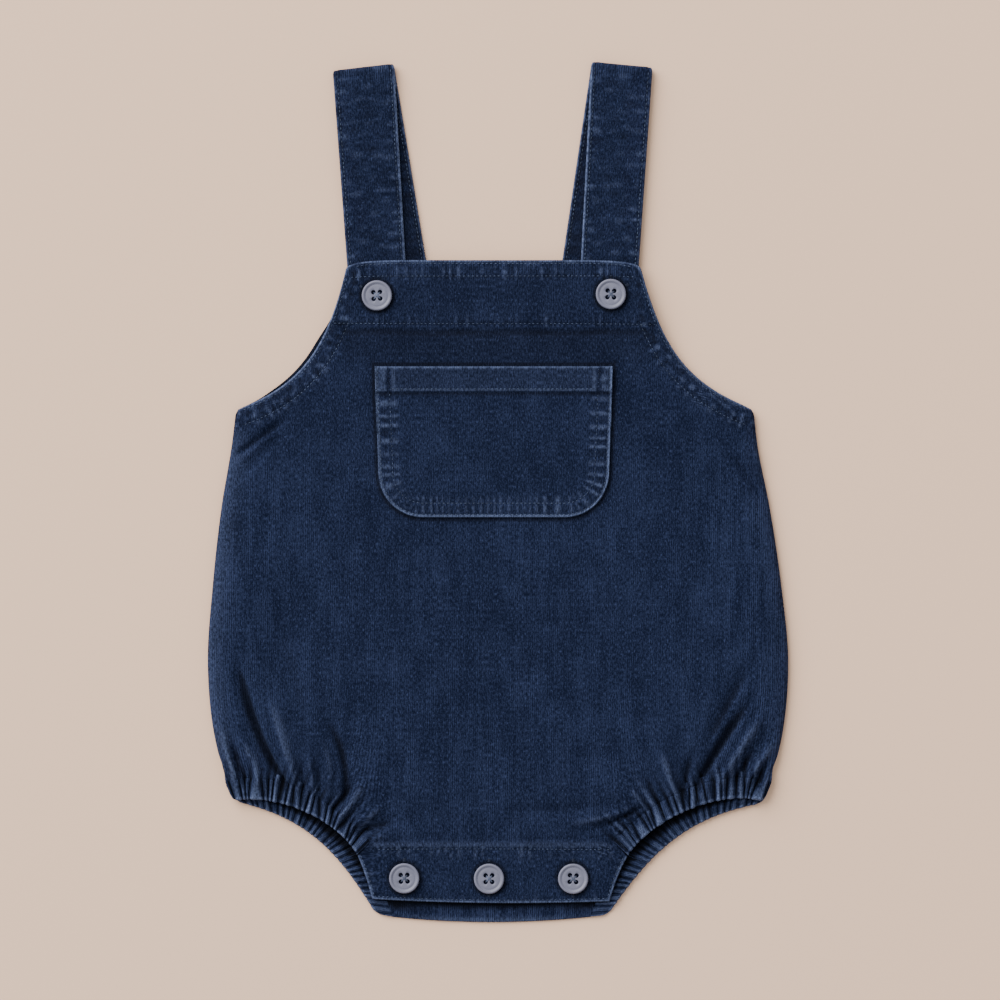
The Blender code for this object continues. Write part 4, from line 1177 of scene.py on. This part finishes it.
def pocket_bars(across, along, hem):
    """Crest of the puckering bars from -1 to 1 along the rim, and how strongly
    they show: by both rows, uneven, and weaker at the foot and in the hem."""
    foot = ease(along, 60.0, 80.0) * (1 - ease(along, 141.0, 161.0))
    foot_run = np.clip(along, *FOOT_RUN) - FOOT_RUN[0]
    phase = along / BAR_PITCH + foot_run * (1 / FOOT_BAR_PITCH - 1 / BAR_PITCH)
    crest = np.cos(2 * np.pi * (phase + 0.30 * wander(along, 23.0, 3.0)))
    strength = (0.75 + 0.5 * wander(along, 31.0, 5.0)) * (1 - 0.45 * foot)
    by_rows = bell(across, 4.2, 2.3, 4) + 0.8 * bell(across, 9.0, 1.5, 4)
    return crest, strength * by_rows * (1 - 0.75 * hem)


def pocket_face(x, y):
    """Height and wear: a step over the front, a thicker hem and turned edges,
    grooves under the rows of stitching, and bars of puckering by them. The wear
    has painted shade in the bars' troughs, under the hem's edge and along the
    inner row in the hem."""
    across, along, _ = beside(x, y, pocket_rim(0.0))
    hem = ease(y, POCKET_HEM_FOOT - 0.35, POCKET_HEM_FOOT + 0.35)
    mouth = ease(y, POCKET_TOP - 9.0, POCKET_TOP)
    mouth = mouth * (1 - ((x - POCKET_MIDDLE) / MOUTH_HALF) ** 2)
    turned = 1 - ease(across, 6.6, 8.6)
    crest, strength = pocket_bars(across, along, hem)
    hem_row = bell(y, HEM_STITCH, 0.5) * (across > POCKET_ROWS[1])
    ripple = np.cos(2 * np.pi * (x / 7.0 + 0.3 * wander(x, 19.0, 2.0)))
    height = front_rest(x, y) + POCKET_GAP + POCKET_CLOTH + POCKET_HEM_RISE * hem
    height = height + 0.5 * mouth + 0.30 * turned + 0.32 * crest * strength
    height = height - 0.22 * hem_row + 0.08 * ripple * bell(y, POCKET_TOP, 3.0)
    for inset in POCKET_ROWS:
        height = height - (0.30 + 0.25 * hem) * bell(across, inset, 0.5)

    # Bars rubbed pale on their crests, painted shade in their troughs
    rubbed = np.clip(crest, 0, 1) ** 2 - 0.5 * np.clip(-crest, 0, 1)
    wear = 0.95 * bell(across, 0.3, 0.75) + 0.60 * rubbed * strength
    wear = wear + 0.80 * bell(y, POCKET_TOP, 0.9) * (0.75 + 0.25 * ripple)
    wear = wear + 0.25 * bell(y, POCKET_HEM_FOOT + 0.7, 0.5)
    # Painted shadow in a line under the hem's edge
    wear = wear - 0.5 * bell(y, POCKET_HEM_FOOT - 0.9, 0.8)
    blotches = (0.10 + 0.25 * swell(x, y, 8.0, 3.0)) * turned
    # Pale line by the hem's end, painted shade along the inner row in the hem
    through_hem = 0.25 * bell(across, 9.0, 0.9) - 0.5 * bell(across, POCKET_ROWS[1] - 0.5, 0.8)
    return height, wear + (0.05 + blotches + through_hem) * hem


def pocket_sheet():
    """Columns run from the hem to the foot. At the corners they are spaced by
    the arc's angle, and their feet are lifted along it."""
    columns, corner_steps, rows = POCKET_GRID
    angle = np.linspace(0.0, math.pi / 2, corner_steps + 1)
    straight = POCKET_HALF_FOOT - POCKET_CORNER
    corner_x = straight + POCKET_CORNER * np.sin(angle)
    corner_lift = POCKET_CORNER * (1 - np.cos(angle))
    middle = np.linspace(-straight, straight, columns)[1:-1]
    across = np.concatenate([-corner_x[::-1], middle, corner_x])
    lift = np.concatenate([corner_lift[::-1], np.zeros_like(middle), corner_lift])
    fall = np.linspace(0.0, 1.0, rows)[:, None]
    y = POCKET_TOP + (POCKET_FOOT + lift - POCKET_TOP) * fall
    x = POCKET_MIDDLE + across * pocket_half(y) / POCKET_HALF_FOOT
    height, wear = pocket_face(x, y)
    points = np.stack([x, y, height], axis=-1).reshape(-1, 3)
    loop = rim_loop(*x.shape)
    points, rim, hangs_from = roll_edge(points, loop, POCKET_EDGE, 0.5)
    faces = np.vstack([grid_faces(*x.shape), rim])
    wear = np.concatenate([wear.ravel(), wear.ravel()[hangs_from] * 0.6])
    return cloth_piece("patch_pocket", points, faces, points[:, :2], wear, TRIM_CORD, POCKET_RIB)


def pocket_top(x, y):
    """Height of the pocket's outer face."""
    return pocket_face(x, y)[0]


pocket = pocket_sheet()
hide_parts("pocket")
hem_line = [(POCKET_MIDDLE + side * HEM_STITCH_HALF, HEM_STITCH) for side in (-1, 1)]
pocket_runs = [stitched(pocket_rim(inset), pocket_top) for inset in POCKET_ROWS]
pocket_runs.append(stitched(hem_line, pocket_top))
thread_piece("pocket_stitching", pocket_runs, THREAD)


# ========================================================== the leg casings
# Flat tubes of needlecord round elastic, sewn along both leg openings. The
# elastic draws the cloth into uneven pleats that run across the band.

CASING_STEPS = 20
CASING_RING = 24
CASING_UNDER = 4
CASING_WIDTH = 13.0
CASING_SLACK = 1.2 * 88.0
CASING_RIB = 2.0
CASING_FLOOR = 0.5
BACK_PLEAT_SHARE = 0.55
# Shares of the run where the crests sink to the flap, where the first end is
# pinched shut, and over which the ends are rounded off
SINKS = (0.90, 1.0)
SHUT = (0.0, 0.008)
ROUND_START, ROUND_END = 0.035, 0.03
# A front casing lies over the back one, and its shade is painted dark on the
# back one: across it as far as the first pair below gives, until the front one
# turns away at OPEN along the run
SHADED_ACROSS = (0.30, 0.62)
OPEN = (0.84, 0.93)


def quarter_round(x, reach):
    """1 at x = 0, falling by a quarter circle to 0 at the reach."""
    return 1 - np.sqrt(1 - np.clip(1 - x / reach, 0.0, 1.0) ** 2)


def casing_wear_and_shade(casing, run, across, pleat, inner):
    """Rubbed crests and free edge, painted shade in the valleys. On a front casing
    the folds' wear and painted shade run in from the panel. A back casing is
    dull, with painted shade where the front casing lies over it, and a little
    paler where the front one turns away."""
    wear = 0.9 * ease(pleat, 0.5, 0.95) * (0.35 + 0.65 * ease(across, 0.0, 0.8))
    wear = wear * (0.8 + 0.35 * wander(run * casing.pleats, 3.0, casing.seed))
    wear = wear + 0.8 * ease(across, 0.78, 0.94) - 0.9 * (1 - ease(pleat, 0.2, 0.6))
    if casing.level:
        from_panel = fold_wear_and_shade(inner[:, 0], inner[:, 1])[:, None]
        return wear + from_panel * (1 - ease(across, 0.0, 0.6))
    # Painted shade of the front casing on the back one
    front_casing_shade = 1 - ease(across + 0.10 * pleat, *SHADED_ACROSS)
    open_end = ease(run, *OPEN)
    wear = 0.50 * wear + 0.15 * ease(across, 0.85, 0.96)
    return wear - 1.0 * front_casing_shade * (1 - open_end) + 0.2 * open_end


def casing_ring(casing, beside_top):
    """A casing as closed rings along its run: it starts at the panel's height
    at the seam, rises to pleats that run across, and turns round a scalloped
    free edge to its flat underside."""
    steps = casing.pleats * CASING_STEPS
    run = np.linspace(0.0, 1.0, steps + 1)[:, None]
    inner, outer = bezier(casing.inner, steps), bezier(casing.outer, steps)
    across = 0.5 - 0.5 * np.cos(np.linspace(0.0, math.pi, CASING_RING))[None, :]
    pleat = pleats(run, across, casing)
    panel = beside_top(inner[:, 0], inner[:, 1])[:, None]
    crest = casing.level + casing.height + 0.5
    last = ease(run, *SINKS)
    crest = crest + (panel - 0.1 - crest) * last
    body = panel + (crest - panel) * ease(across, 0.0, 0.6)
    start = ease(across, 0.0, 0.08)
    edge = np.sqrt(1 - np.clip((across - 0.91) / 0.09, 0.0, 1.0) ** 2)
    depth = PLEAT_DEPTH if casing.level else BACK_PLEAT_SHARE * PLEAT_DEPTH
    relief = depth * (pleat - PLEAT_MEAN) * (0.5 + 0.5 * edge) * (1 - 0.5 * last)
    top = body + relief - SEAM_DIP * (1 - start)
    low = casing.level + CASING_FLOOR
    top = np.maximum(low + (top - low) * (0.15 + 0.85 * edge), low)
    top = low + (top - low) * (0.4 + 0.6 * ease(run, *SHUT))
    round_off = 0.35 * quarter_round(run, ROUND_START)
    if casing.level == 0:
        round_off = round_off + 0.40 * quarter_round(1 - run, ROUND_END)
    scallop = 0.06 if casing.level else 0.035
    place = across * (1 - round_off)
    place = place + scallop * (pleat - 0.6) * across ** 3 - 0.02 * (1 - start)
    plan = inner[:, None] + (outer - inner)[:, None] * place[..., None]
    rings = np.concatenate([plan, top[..., None]], axis=-1)
    under = plan[:, [-1, -6, 6, 0]]
    under = np.concatenate([under, np.full(under.shape[:2] + (1,), casing.level)], axis=-1)
    wear = casing_wear_and_shade(casing, run, across, pleat, inner)
    wear = np.hstack([wear, np.zeros((steps + 1, CASING_UNDER))])
    return np.concatenate([rings, under], axis=1), wear, run, place


def back_rest(x, y):
    """Height of the back's upper face."""
    return np.full_like(x, BACK_CLOTH)


def casing_piece(name, casing):
    """A casing's rings as a closed tube. Its cloth map runs along the gathers
    by the cloth they take up."""
    beside_top = front_rest if "front" in name else back_rest
    rings, wear, run, place = casing_ring(casing, beside_top)
    stations, ring = rings.shape[:2]
    index = np.arange(stations * ring).reshape(stations, ring)
    onward = np.roll(index, -1, axis=1)
    quads = np.stack([index[:-1], index[1:], onward[1:], onward[:-1]], axis=-1).reshape(-1, 4)
    first, last = index[0].tolist(), index[-1].tolist()
    if name.endswith("right"):
        faces = quads.tolist() + [first[::-1], last]
    else:
        faces = quads[:, ::-1].tolist() + [first, last[::-1]]
    u = np.repeat(run * CASING_SLACK, ring, axis=1)
    v = CASING_WIDTH * np.hstack([place, np.repeat(place[:, -1:], CASING_UNDER, axis=1)])
    cloth = np.stack([u, v], axis=-1).reshape(-1, 2)
    return cloth_piece(name.replace("leg_casing", "gathered"), rings.reshape(-1, 3), faces,
                       cloth, wear.ravel(), TRIM_CORD, CASING_RIB)


for name, casing in CASINGS.items():
    band = casing_piece(name, casing)
    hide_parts(name)


# =============================================================== the straps
# Each strap is one strip of needlecord folded double and topstitched along
# both edges. It comes up from the back, folds over at the top and runs down
# behind the bib to its button.

StrapEdge = namedtuple("StrapEdge", "left left_height right right_height")
Strap = namedtuple("Strap", "back_end fold front_end inner seed")
STRAPS = {
    "strap_left": Strap(StrapEdge(-62.8, 96.4, -32.8, 96.4),
                        StrapEdge(-82.4, 208.3, -51.7, 211.8),
                        StrapEdge(-73.4, 86.5, -44.6, 86.5), 1, 1.0),
    "strap_right": Strap(StrapEdge(29.3, 96.4, 59.3, 96.4),
                         StrapEdge(46.5, 212.8, 77.1, 209.9),
                         StrapEdge(39.9, 86.5, 68.5, 86.5), 0, 5.0),
}
STRAP_CLOTH = 1.8
STRAP_BORE = 0.8
STRAP_LAYER_ROWS = 120
STRAP_FOLD_ROWS = 14
STRAP_COLUMNS = 40
STRAP_WIDTH = 29.5
STRAP_STITCH = 1.9
STRAP_CORNER = 2.6
STRAP_RIB = 0.30
STRAP_FOLD_RIB = 1.3
STRAP_PUCKER = 5.6
STRAP_EDGE = 0.9
# Painted shade on the inside face of a strap's back layer, beside the front layer
STRAP_LAYER_SHADE = 0.35


def strap_lift(run, across, inner, seed):
    """Relief of a strap's face and its wear: puckers along both stitched
    edges, grooves under the thread with painted shade in them, shallow cross
    ripples with blotches of wear on them, and a rubbed cord along the inner edge."""
    ripple = wander(run + 1.4 * np.sin(4.0 * across + seed), 9.0, seed)
    lift = 0.10 * ripple
    wear = 0.10 * ripple + 0.20 * swell(run, 0.6 * STRAP_WIDTH * across, 6.4, seed) - 0.05
    for side, turn in ((0, 0.0), (1, 2.0)):
        edge = np.abs(across - side) * STRAP_WIDTH
        phase = run / STRAP_PUCKER + 0.3 * wander(run, 21.0, seed + turn)
        strength = 0.7 + 0.45 * wander(run, 27.0, seed + turn + 1)
        crest = np.cos(2 * np.pi * phase)
        fade = bell(edge, 2.6, 3.0)
        lift = lift + 0.16 * crest * strength * fade - 0.22 * bell(edge, STRAP_STITCH, 0.5)
        rubbed = 0.95 if side == inner else 0.30
        wear = wear + 0.30 * np.clip(crest, 0, 1) * strength * fade
        # Edges rubbed pale, painted shade in the groove under the stitching
        wear = wear + rubbed * bell(edge, 0.0, 1.0) - 0.35 * bell(edge, STRAP_STITCH, 0.6)
    return lift, wear


def strap_rows(strap):
    """Ends of a strap's rows in plan, the turn of its face and its run."""
    def edge(row):
        """A row's two ends in plan."""
        return np.array([[row.left, row.left_height], [row.right, row.right_height]])
    share = np.linspace(0.0, 1.0, STRAP_LAYER_ROWS + 1)[:, None, None]
    up = edge(strap.back_end) + (edge(strap.fold) - edge(strap.back_end)) * share
    down = edge(strap.fold) + (edge(strap.front_end) - edge(strap.fold)) * share
    turn = np.radians(np.linspace(-90.0, 90.0, STRAP_FOLD_ROWS + 1))
    ends = np.concatenate([up, np.repeat(up[-1:], STRAP_FOLD_ROWS - 1, axis=0), down])
    turns = np.concatenate([np.full(STRAP_LAYER_ROWS, turn[0]), turn,
                            np.full(STRAP_LAYER_ROWS, turn[-1])])
    middle = ends.mean(axis=1)
    gap = np.hypot(*np.diff(middle, axis=0).T)
    arc = np.abs(np.diff(turns)) * (STRAP_CLOTH + STRAP_BORE) / 2
    run = np.concatenate([[0.0], np.cumsum(gap + arc)])
    return ends, turns, run


def strap_piece(name, strap):
    """A strap as closed rings: its face, its two round edges and its inside,
    carried up the back layer, round the fold and down the front layer."""
    ends, turns, run = strap_rows(strap)
    fold = strap.fold
    fold_line = fold.right - fold.left, fold.right_height - fold.left_height
    outward = np.array([-fold_line[1], fold_line[0], 0.0]) / math.hypot(*fold_line)
    normal = np.cos(turns)[:, None] * outward + np.sin(turns)[:, None] * [0.0, 0.0, 1.0]
    across = 0.5 - 0.5 * np.cos(np.linspace(0.0, math.pi, STRAP_COLUMNS))
    across = 0.6 * across + 0.4 * np.linspace(0.0, 1.0, STRAP_COLUMNS)
    edge = np.minimum(across, 1 - across) * STRAP_WIDTH
    shoulder = 1 - quarter_round(edge, STRAP_EDGE)
    lift, wear = strap_lift(run[:, None], across[None, :], strap.inner, strap.seed)
    lift_in, _ = strap_lift(run[:, None] + 40.0, across[None, :], strap.inner, strap.seed + 2)
    resting = (turns < -1.5)[:, None]
    half = STRAP_CLOTH / 2
    outer = half * np.where(resting, 1.0, shoulder) + np.where(resting, 0.0, lift * shoulder)
    inner = -half * shoulder - np.where(resting, lift_in * shoulder, 0.0)
    drawn = np.cos(turns)[:, None] * quarter_round(edge, STRAP_CORNER)
    level = STRAP_BORE / 2 + half - drawn
    plan = ends[:, :1] + (ends[:, 1:] - ends[:, :1]) * across[None, :, None]
    axis = np.full(plan.shape[:2] + (1,), STRAP_CLOTH + STRAP_BORE / 2)
    axis = np.concatenate([plan, axis], axis=-1)
    face = axis + normal[:, None] * (level + outer)[..., None]
    inside = axis + normal[:, None] * (level + inner)[..., None]
    points = np.concatenate([face, inside[:, ::-1]], axis=1)
    stations, ring = points.shape[:2]
    index = np.arange(stations * ring).reshape(stations, ring)
    onward = np.roll(index, -1, axis=1)
    quads = np.stack([index[1:], onward[1:], onward[:-1], index[:-1]], axis=-1).reshape(-1, 4)
    caps = [index[0].tolist(), index[-1, ::-1].tolist()]
    u = np.concatenate([across, across[::-1]])[None, :] * STRAP_WIDTH + np.zeros((stations, 1))
    v = run[:, None] + np.zeros((1, ring))
    cloth = np.stack([u + 7.0 * strap.seed, v], axis=-1).reshape(-1, 2)
    # The back layer's inside face, which shows beside the front layer, gets painted shade
    wear = np.concatenate([wear, (wear - STRAP_LAYER_SHADE * resting)[:, ::-1]], axis=1)
    rib = STRAP_RIB + STRAP_FOLD_RIB * bell(run, np.interp(0.0, turns, run), 9.0)
    return cloth_piece(name.replace("strap", "shoulder_strap"), points.reshape(-1, 3),
                       quads.tolist() + caps, cloth, wear.ravel(), TRIM_CORD,
                       np.repeat(rib, ring))


def strap_stitches(strap):
    """Stitches along both edges of the front layer and of the back layer."""
    ends, turns, run = strap_rows(strap)
    runs = []
    layers = ((STRAP_LAYER_ROWS + STRAP_FOLD_ROWS, len(run) - 1, 1.0),
              (STRAP_LAYER_ROWS, 0, -1.0))
    for first, last, face in layers:
        for across in (STRAP_STITCH / STRAP_WIDTH, 1 - STRAP_STITCH / STRAP_WIDTH):
            a = ends[first, 0] + (ends[first, 1] - ends[first, 0]) * across
            b = ends[last, 0] + (ends[last, 1] - ends[last, 0]) * across
            level = 2 * STRAP_CLOTH + STRAP_BORE if face > 0 else STRAP_CLOTH
            runs.append(stitched([a, b], lambda x, y: np.full_like(x, level - 0.10)))
    return runs


strap_runs = []
for name, strap in STRAPS.items():
    strip = strap_piece(name, strap)
    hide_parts(name)
    strap_runs += strap_stitches(strap)
thread_piece("strap_stitching", strap_runs, THREAD)


# ============================================================== the buttons
# Five moulded four-hole buttons of grey polyester: a raised round rim, a
# groove inside it and a slightly dished middle, sewn on with crossed thread.

BUTTON_SIDES = 72
HOLE_SIDES = 20
HOLE_RADIUS = 1.1
HOLE_FLARE = 0.22
HOLE_SPREAD = 1.65
BUTTON_GREY = (0.143, 0.149, 0.212)
BUTTON_DARK = (0.078, 0.082, 0.125)
CROSS_BLUE = (0.110, 0.135, 0.215)
CROSS_RADIUS = 0.16
CROSS_SEAT = 1.15
CROSS_ARCH = 0.75
STRANDS = (-0.16, 0.18)
SHARP_FROM = 50.0
ProfileRow = namedtuple("ProfileRow", "radius height")
BUTTON_PROFILE = (
    ProfileRow(0.0, 1.62), ProfileRow(2.6, 1.60), ProfileRow(4.6, 1.66), ProfileRow(5.2, 1.62),
    ProfileRow(5.45, 1.54), ProfileRow(5.7, 1.56), ProfileRow(6.0, 1.76), ProfileRow(6.35, 2.06),
    ProfileRow(6.75, 2.24), ProfileRow(7.1, 2.18), ProfileRow(7.4, 1.92), ProfileRow(7.55, 1.50),
    ProfileRow(7.5, 0.9), ProfileRow(7.1, 0.35), ProfileRow(6.4, 0.0), ProfileRow(0.0, 0.0),
)


def button_material():
    """Satin grey polyester, faintly clouded."""
    material, tree, shader = new_material("button_polyester", 0.5, 0.5)
    cloud = solid_noise(tree, 260.0, 3.0)
    grain = solid_noise(tree, 2400.0, 2.0)
    tone = blend_colour(tree, spread(tree, cloud, 0.30, 0.70), BUTTON_DARK, BUTTON_GREY)
    tone = blend_colour(tree, 0.65, tone, BUTTON_GREY)
    tree.links.new(tone, shader.inputs["Base Color"])
    rough = maths(tree, "MULTIPLY_ADD", grain, 0.18, 0.42)
    tree.links.new(rough, shader.inputs["Roughness"])
    bumped(tree, shader, grain, 0.03)
    return material


def turned(profile, sides):
    """A profile carried round: rings of points, with one point at each pole."""
    turn = np.linspace(0.0, 2 * math.pi, sides, endpoint=False)
    rows = np.array(profile)[1:-1]
    ring = np.stack([np.cos(turn), np.sin(turn)], axis=1)
    points = np.concatenate([rows[:, None, :1] * ring[None],
                             np.repeat(rows[:, None, 1:], sides, axis=1)], axis=-1)
    count = len(rows) * sides
    index = np.arange(count).reshape(len(rows), sides)
    faces = np.vstack([band_faces(index[k], index[k + 1]) for k in range(len(rows) - 1)]).tolist()
    poles = [[0.0, 0.0, profile[0][1]], [0.0, 0.0, profile[-1][1]]]
    after = np.roll(index, -1, axis=1)
    faces += [[count, a, b] for a, b in zip(index[0].tolist(), after[0].tolist())]
    faces += [[count + 1, b, a] for a, b in zip(index[-1].tolist(), after[-1].tolist())]
    return np.vstack([points.reshape(-1, 3), poles]), faces


def pierced_button():
    """The turned disc with four holes, each a peg that flares at the face."""
    disc = mesh_object("button_disc", *turned(BUTTON_PROFILE, BUTTON_SIDES))
    flare = HOLE_RADIUS + HOLE_FLARE
    peg_profile = ((0.0, 3.2), (flare, 3.2), (flare, 1.70), (HOLE_RADIUS + 0.05, 1.50),
                   (HOLE_RADIUS, 1.35), (HOLE_RADIUS, -1.0), (0.0, -1.0))
    for side in (-1, 1):
        for end in (-1, 1):
            points, faces = turned(peg_profile, HOLE_SIDES)
            points = points + [side * HOLE_SPREAD, end * HOLE_SPREAD, 0.0]
            peg = mesh_object("peg", points, faces)
            cut = disc.modifiers.new("hole", "BOOLEAN")
            cut.operation = "DIFFERENCE"
            cut.object = peg
    graph = bpy.context.evaluated_depsgraph_get()
    mesh = bpy.data.meshes.new_from_object(disc.evaluated_get(graph))
    for thing in [disc] + [cut.object for cut in disc.modifiers]:
        bpy.data.objects.remove(thing)
    count = len(mesh.vertices)
    flat = np.empty(count * 3, dtype=np.float32)
    mesh.vertices.foreach_get("co", flat)
    faces = [list(face.vertices) for face in mesh.polygons]
    return flat.reshape(-1, 3) / MM, faces


def sewn_button(name, place, spin, seat):
    """A copy of the button, spun in plan and set at its place and height."""
    points = disc_points.copy()
    points[:, :2] = points[:, :2] @ spin.T + [place.x, place.y]
    points[:, 2] += seat
    button = mesh_object(name.replace("button", "sewn_button"), points, disc_faces, BUTTON_FINISH)
    button.data.shade_smooth()
    button.data.set_sharp_from_angle(angle=math.radians(SHARP_FROM))
    return button


def crossed_thread(place, spin, seat):
    """Two strands from hole to hole along each diagonal of the four holes. The
    second diagonal's strands pass over the first's."""
    holes = HOLE_SPREAD * np.array([[-1, -1], [1, 1], [-1, 1], [1, -1]], dtype=float) @ spin.T
    runs = []
    for k in (0, 2):
        a, b = holes[k:k + 2]
        sideways = np.array([a[1] - b[1], b[0] - a[0]]) / np.hypot(*(b - a))
        for nudge in STRANDS:
            ends = [np.array([[*(p + nudge * sideways + [place.x, place.y]), seat + CROSS_SEAT]])
                    for p in (a, b)]
            runs.append((*ends, CROSS_ARCH + 0.12 * k + 0.1 * nudge))
    return runs


BUTTON_FINISH = button_material()
SEWING_THREAD = thread_material("button_thread", CROSS_BLUE)
disc_points, disc_faces = pierced_button()
cross_runs = []
for name, place in BUTTONS.items():
    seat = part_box(name)[0].z / MM
    cosine, sine = math.cos(place.turn), math.sin(place.turn)
    spin = np.array([[cosine, -sine], [sine, cosine]])
    button = sewn_button(name, place, spin, seat)
    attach(button, "root")
    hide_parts(name)
    cross_runs += crossed_thread(place, spin, seat)

# A buttonhole shows past its button as the bars of dark thread at its ends:
# the way out from the button's middle, and where the bars start and end.
HoleEnd = namedtuple("HoleEnd", "button turn first last")
HOLE_ENDS = [HoleEnd("button_bib_right", 0.52, 8.6, 10.2),
             HoleEnd("button_bib_left", 2.62, 8.6, 9.8)]
for place, below in (("left", 9.6), ("middle", 9.4), ("right", 9.5)):
    HOLE_ENDS += [HoleEnd("button_crotch_" + place, 1.57, 8.4, 9.9),
                  HoleEnd("button_crotch_" + place, -1.57, 8.4, below)]
BAR_GAP = 0.34
BAR_HALF = 0.8
BAR_SINK = 0.05
BAR_ARCH = 0.12
BAR_BLUE = (0.012, 0.018, 0.040)
bar_runs = []
for hole in HOLE_ENDS:
    place = BUTTONS[hole.button]
    way = np.array([math.cos(hole.turn), math.sin(hole.turn)])
    side = np.array([-way[1], way[0]])
    out = np.arange(hole.first, hole.last, BAR_GAP)[:, None] * way + [place.x, place.y]
    bars = [out + reach * side for reach in (-BAR_HALF, BAR_HALF)]
    bars = [np.column_stack([bar, front_top(bar[:, 0], bar[:, 1]) - BAR_SINK]) for bar in bars]
    bar_runs.append((*bars, BAR_ARCH))
thread_piece("buttonhole_bars", bar_runs, thread_material("buttonhole_thread", BAR_BLUE))
thread_piece("button_threads", cross_runs, SEWING_THREAD, CROSS_RADIUS)
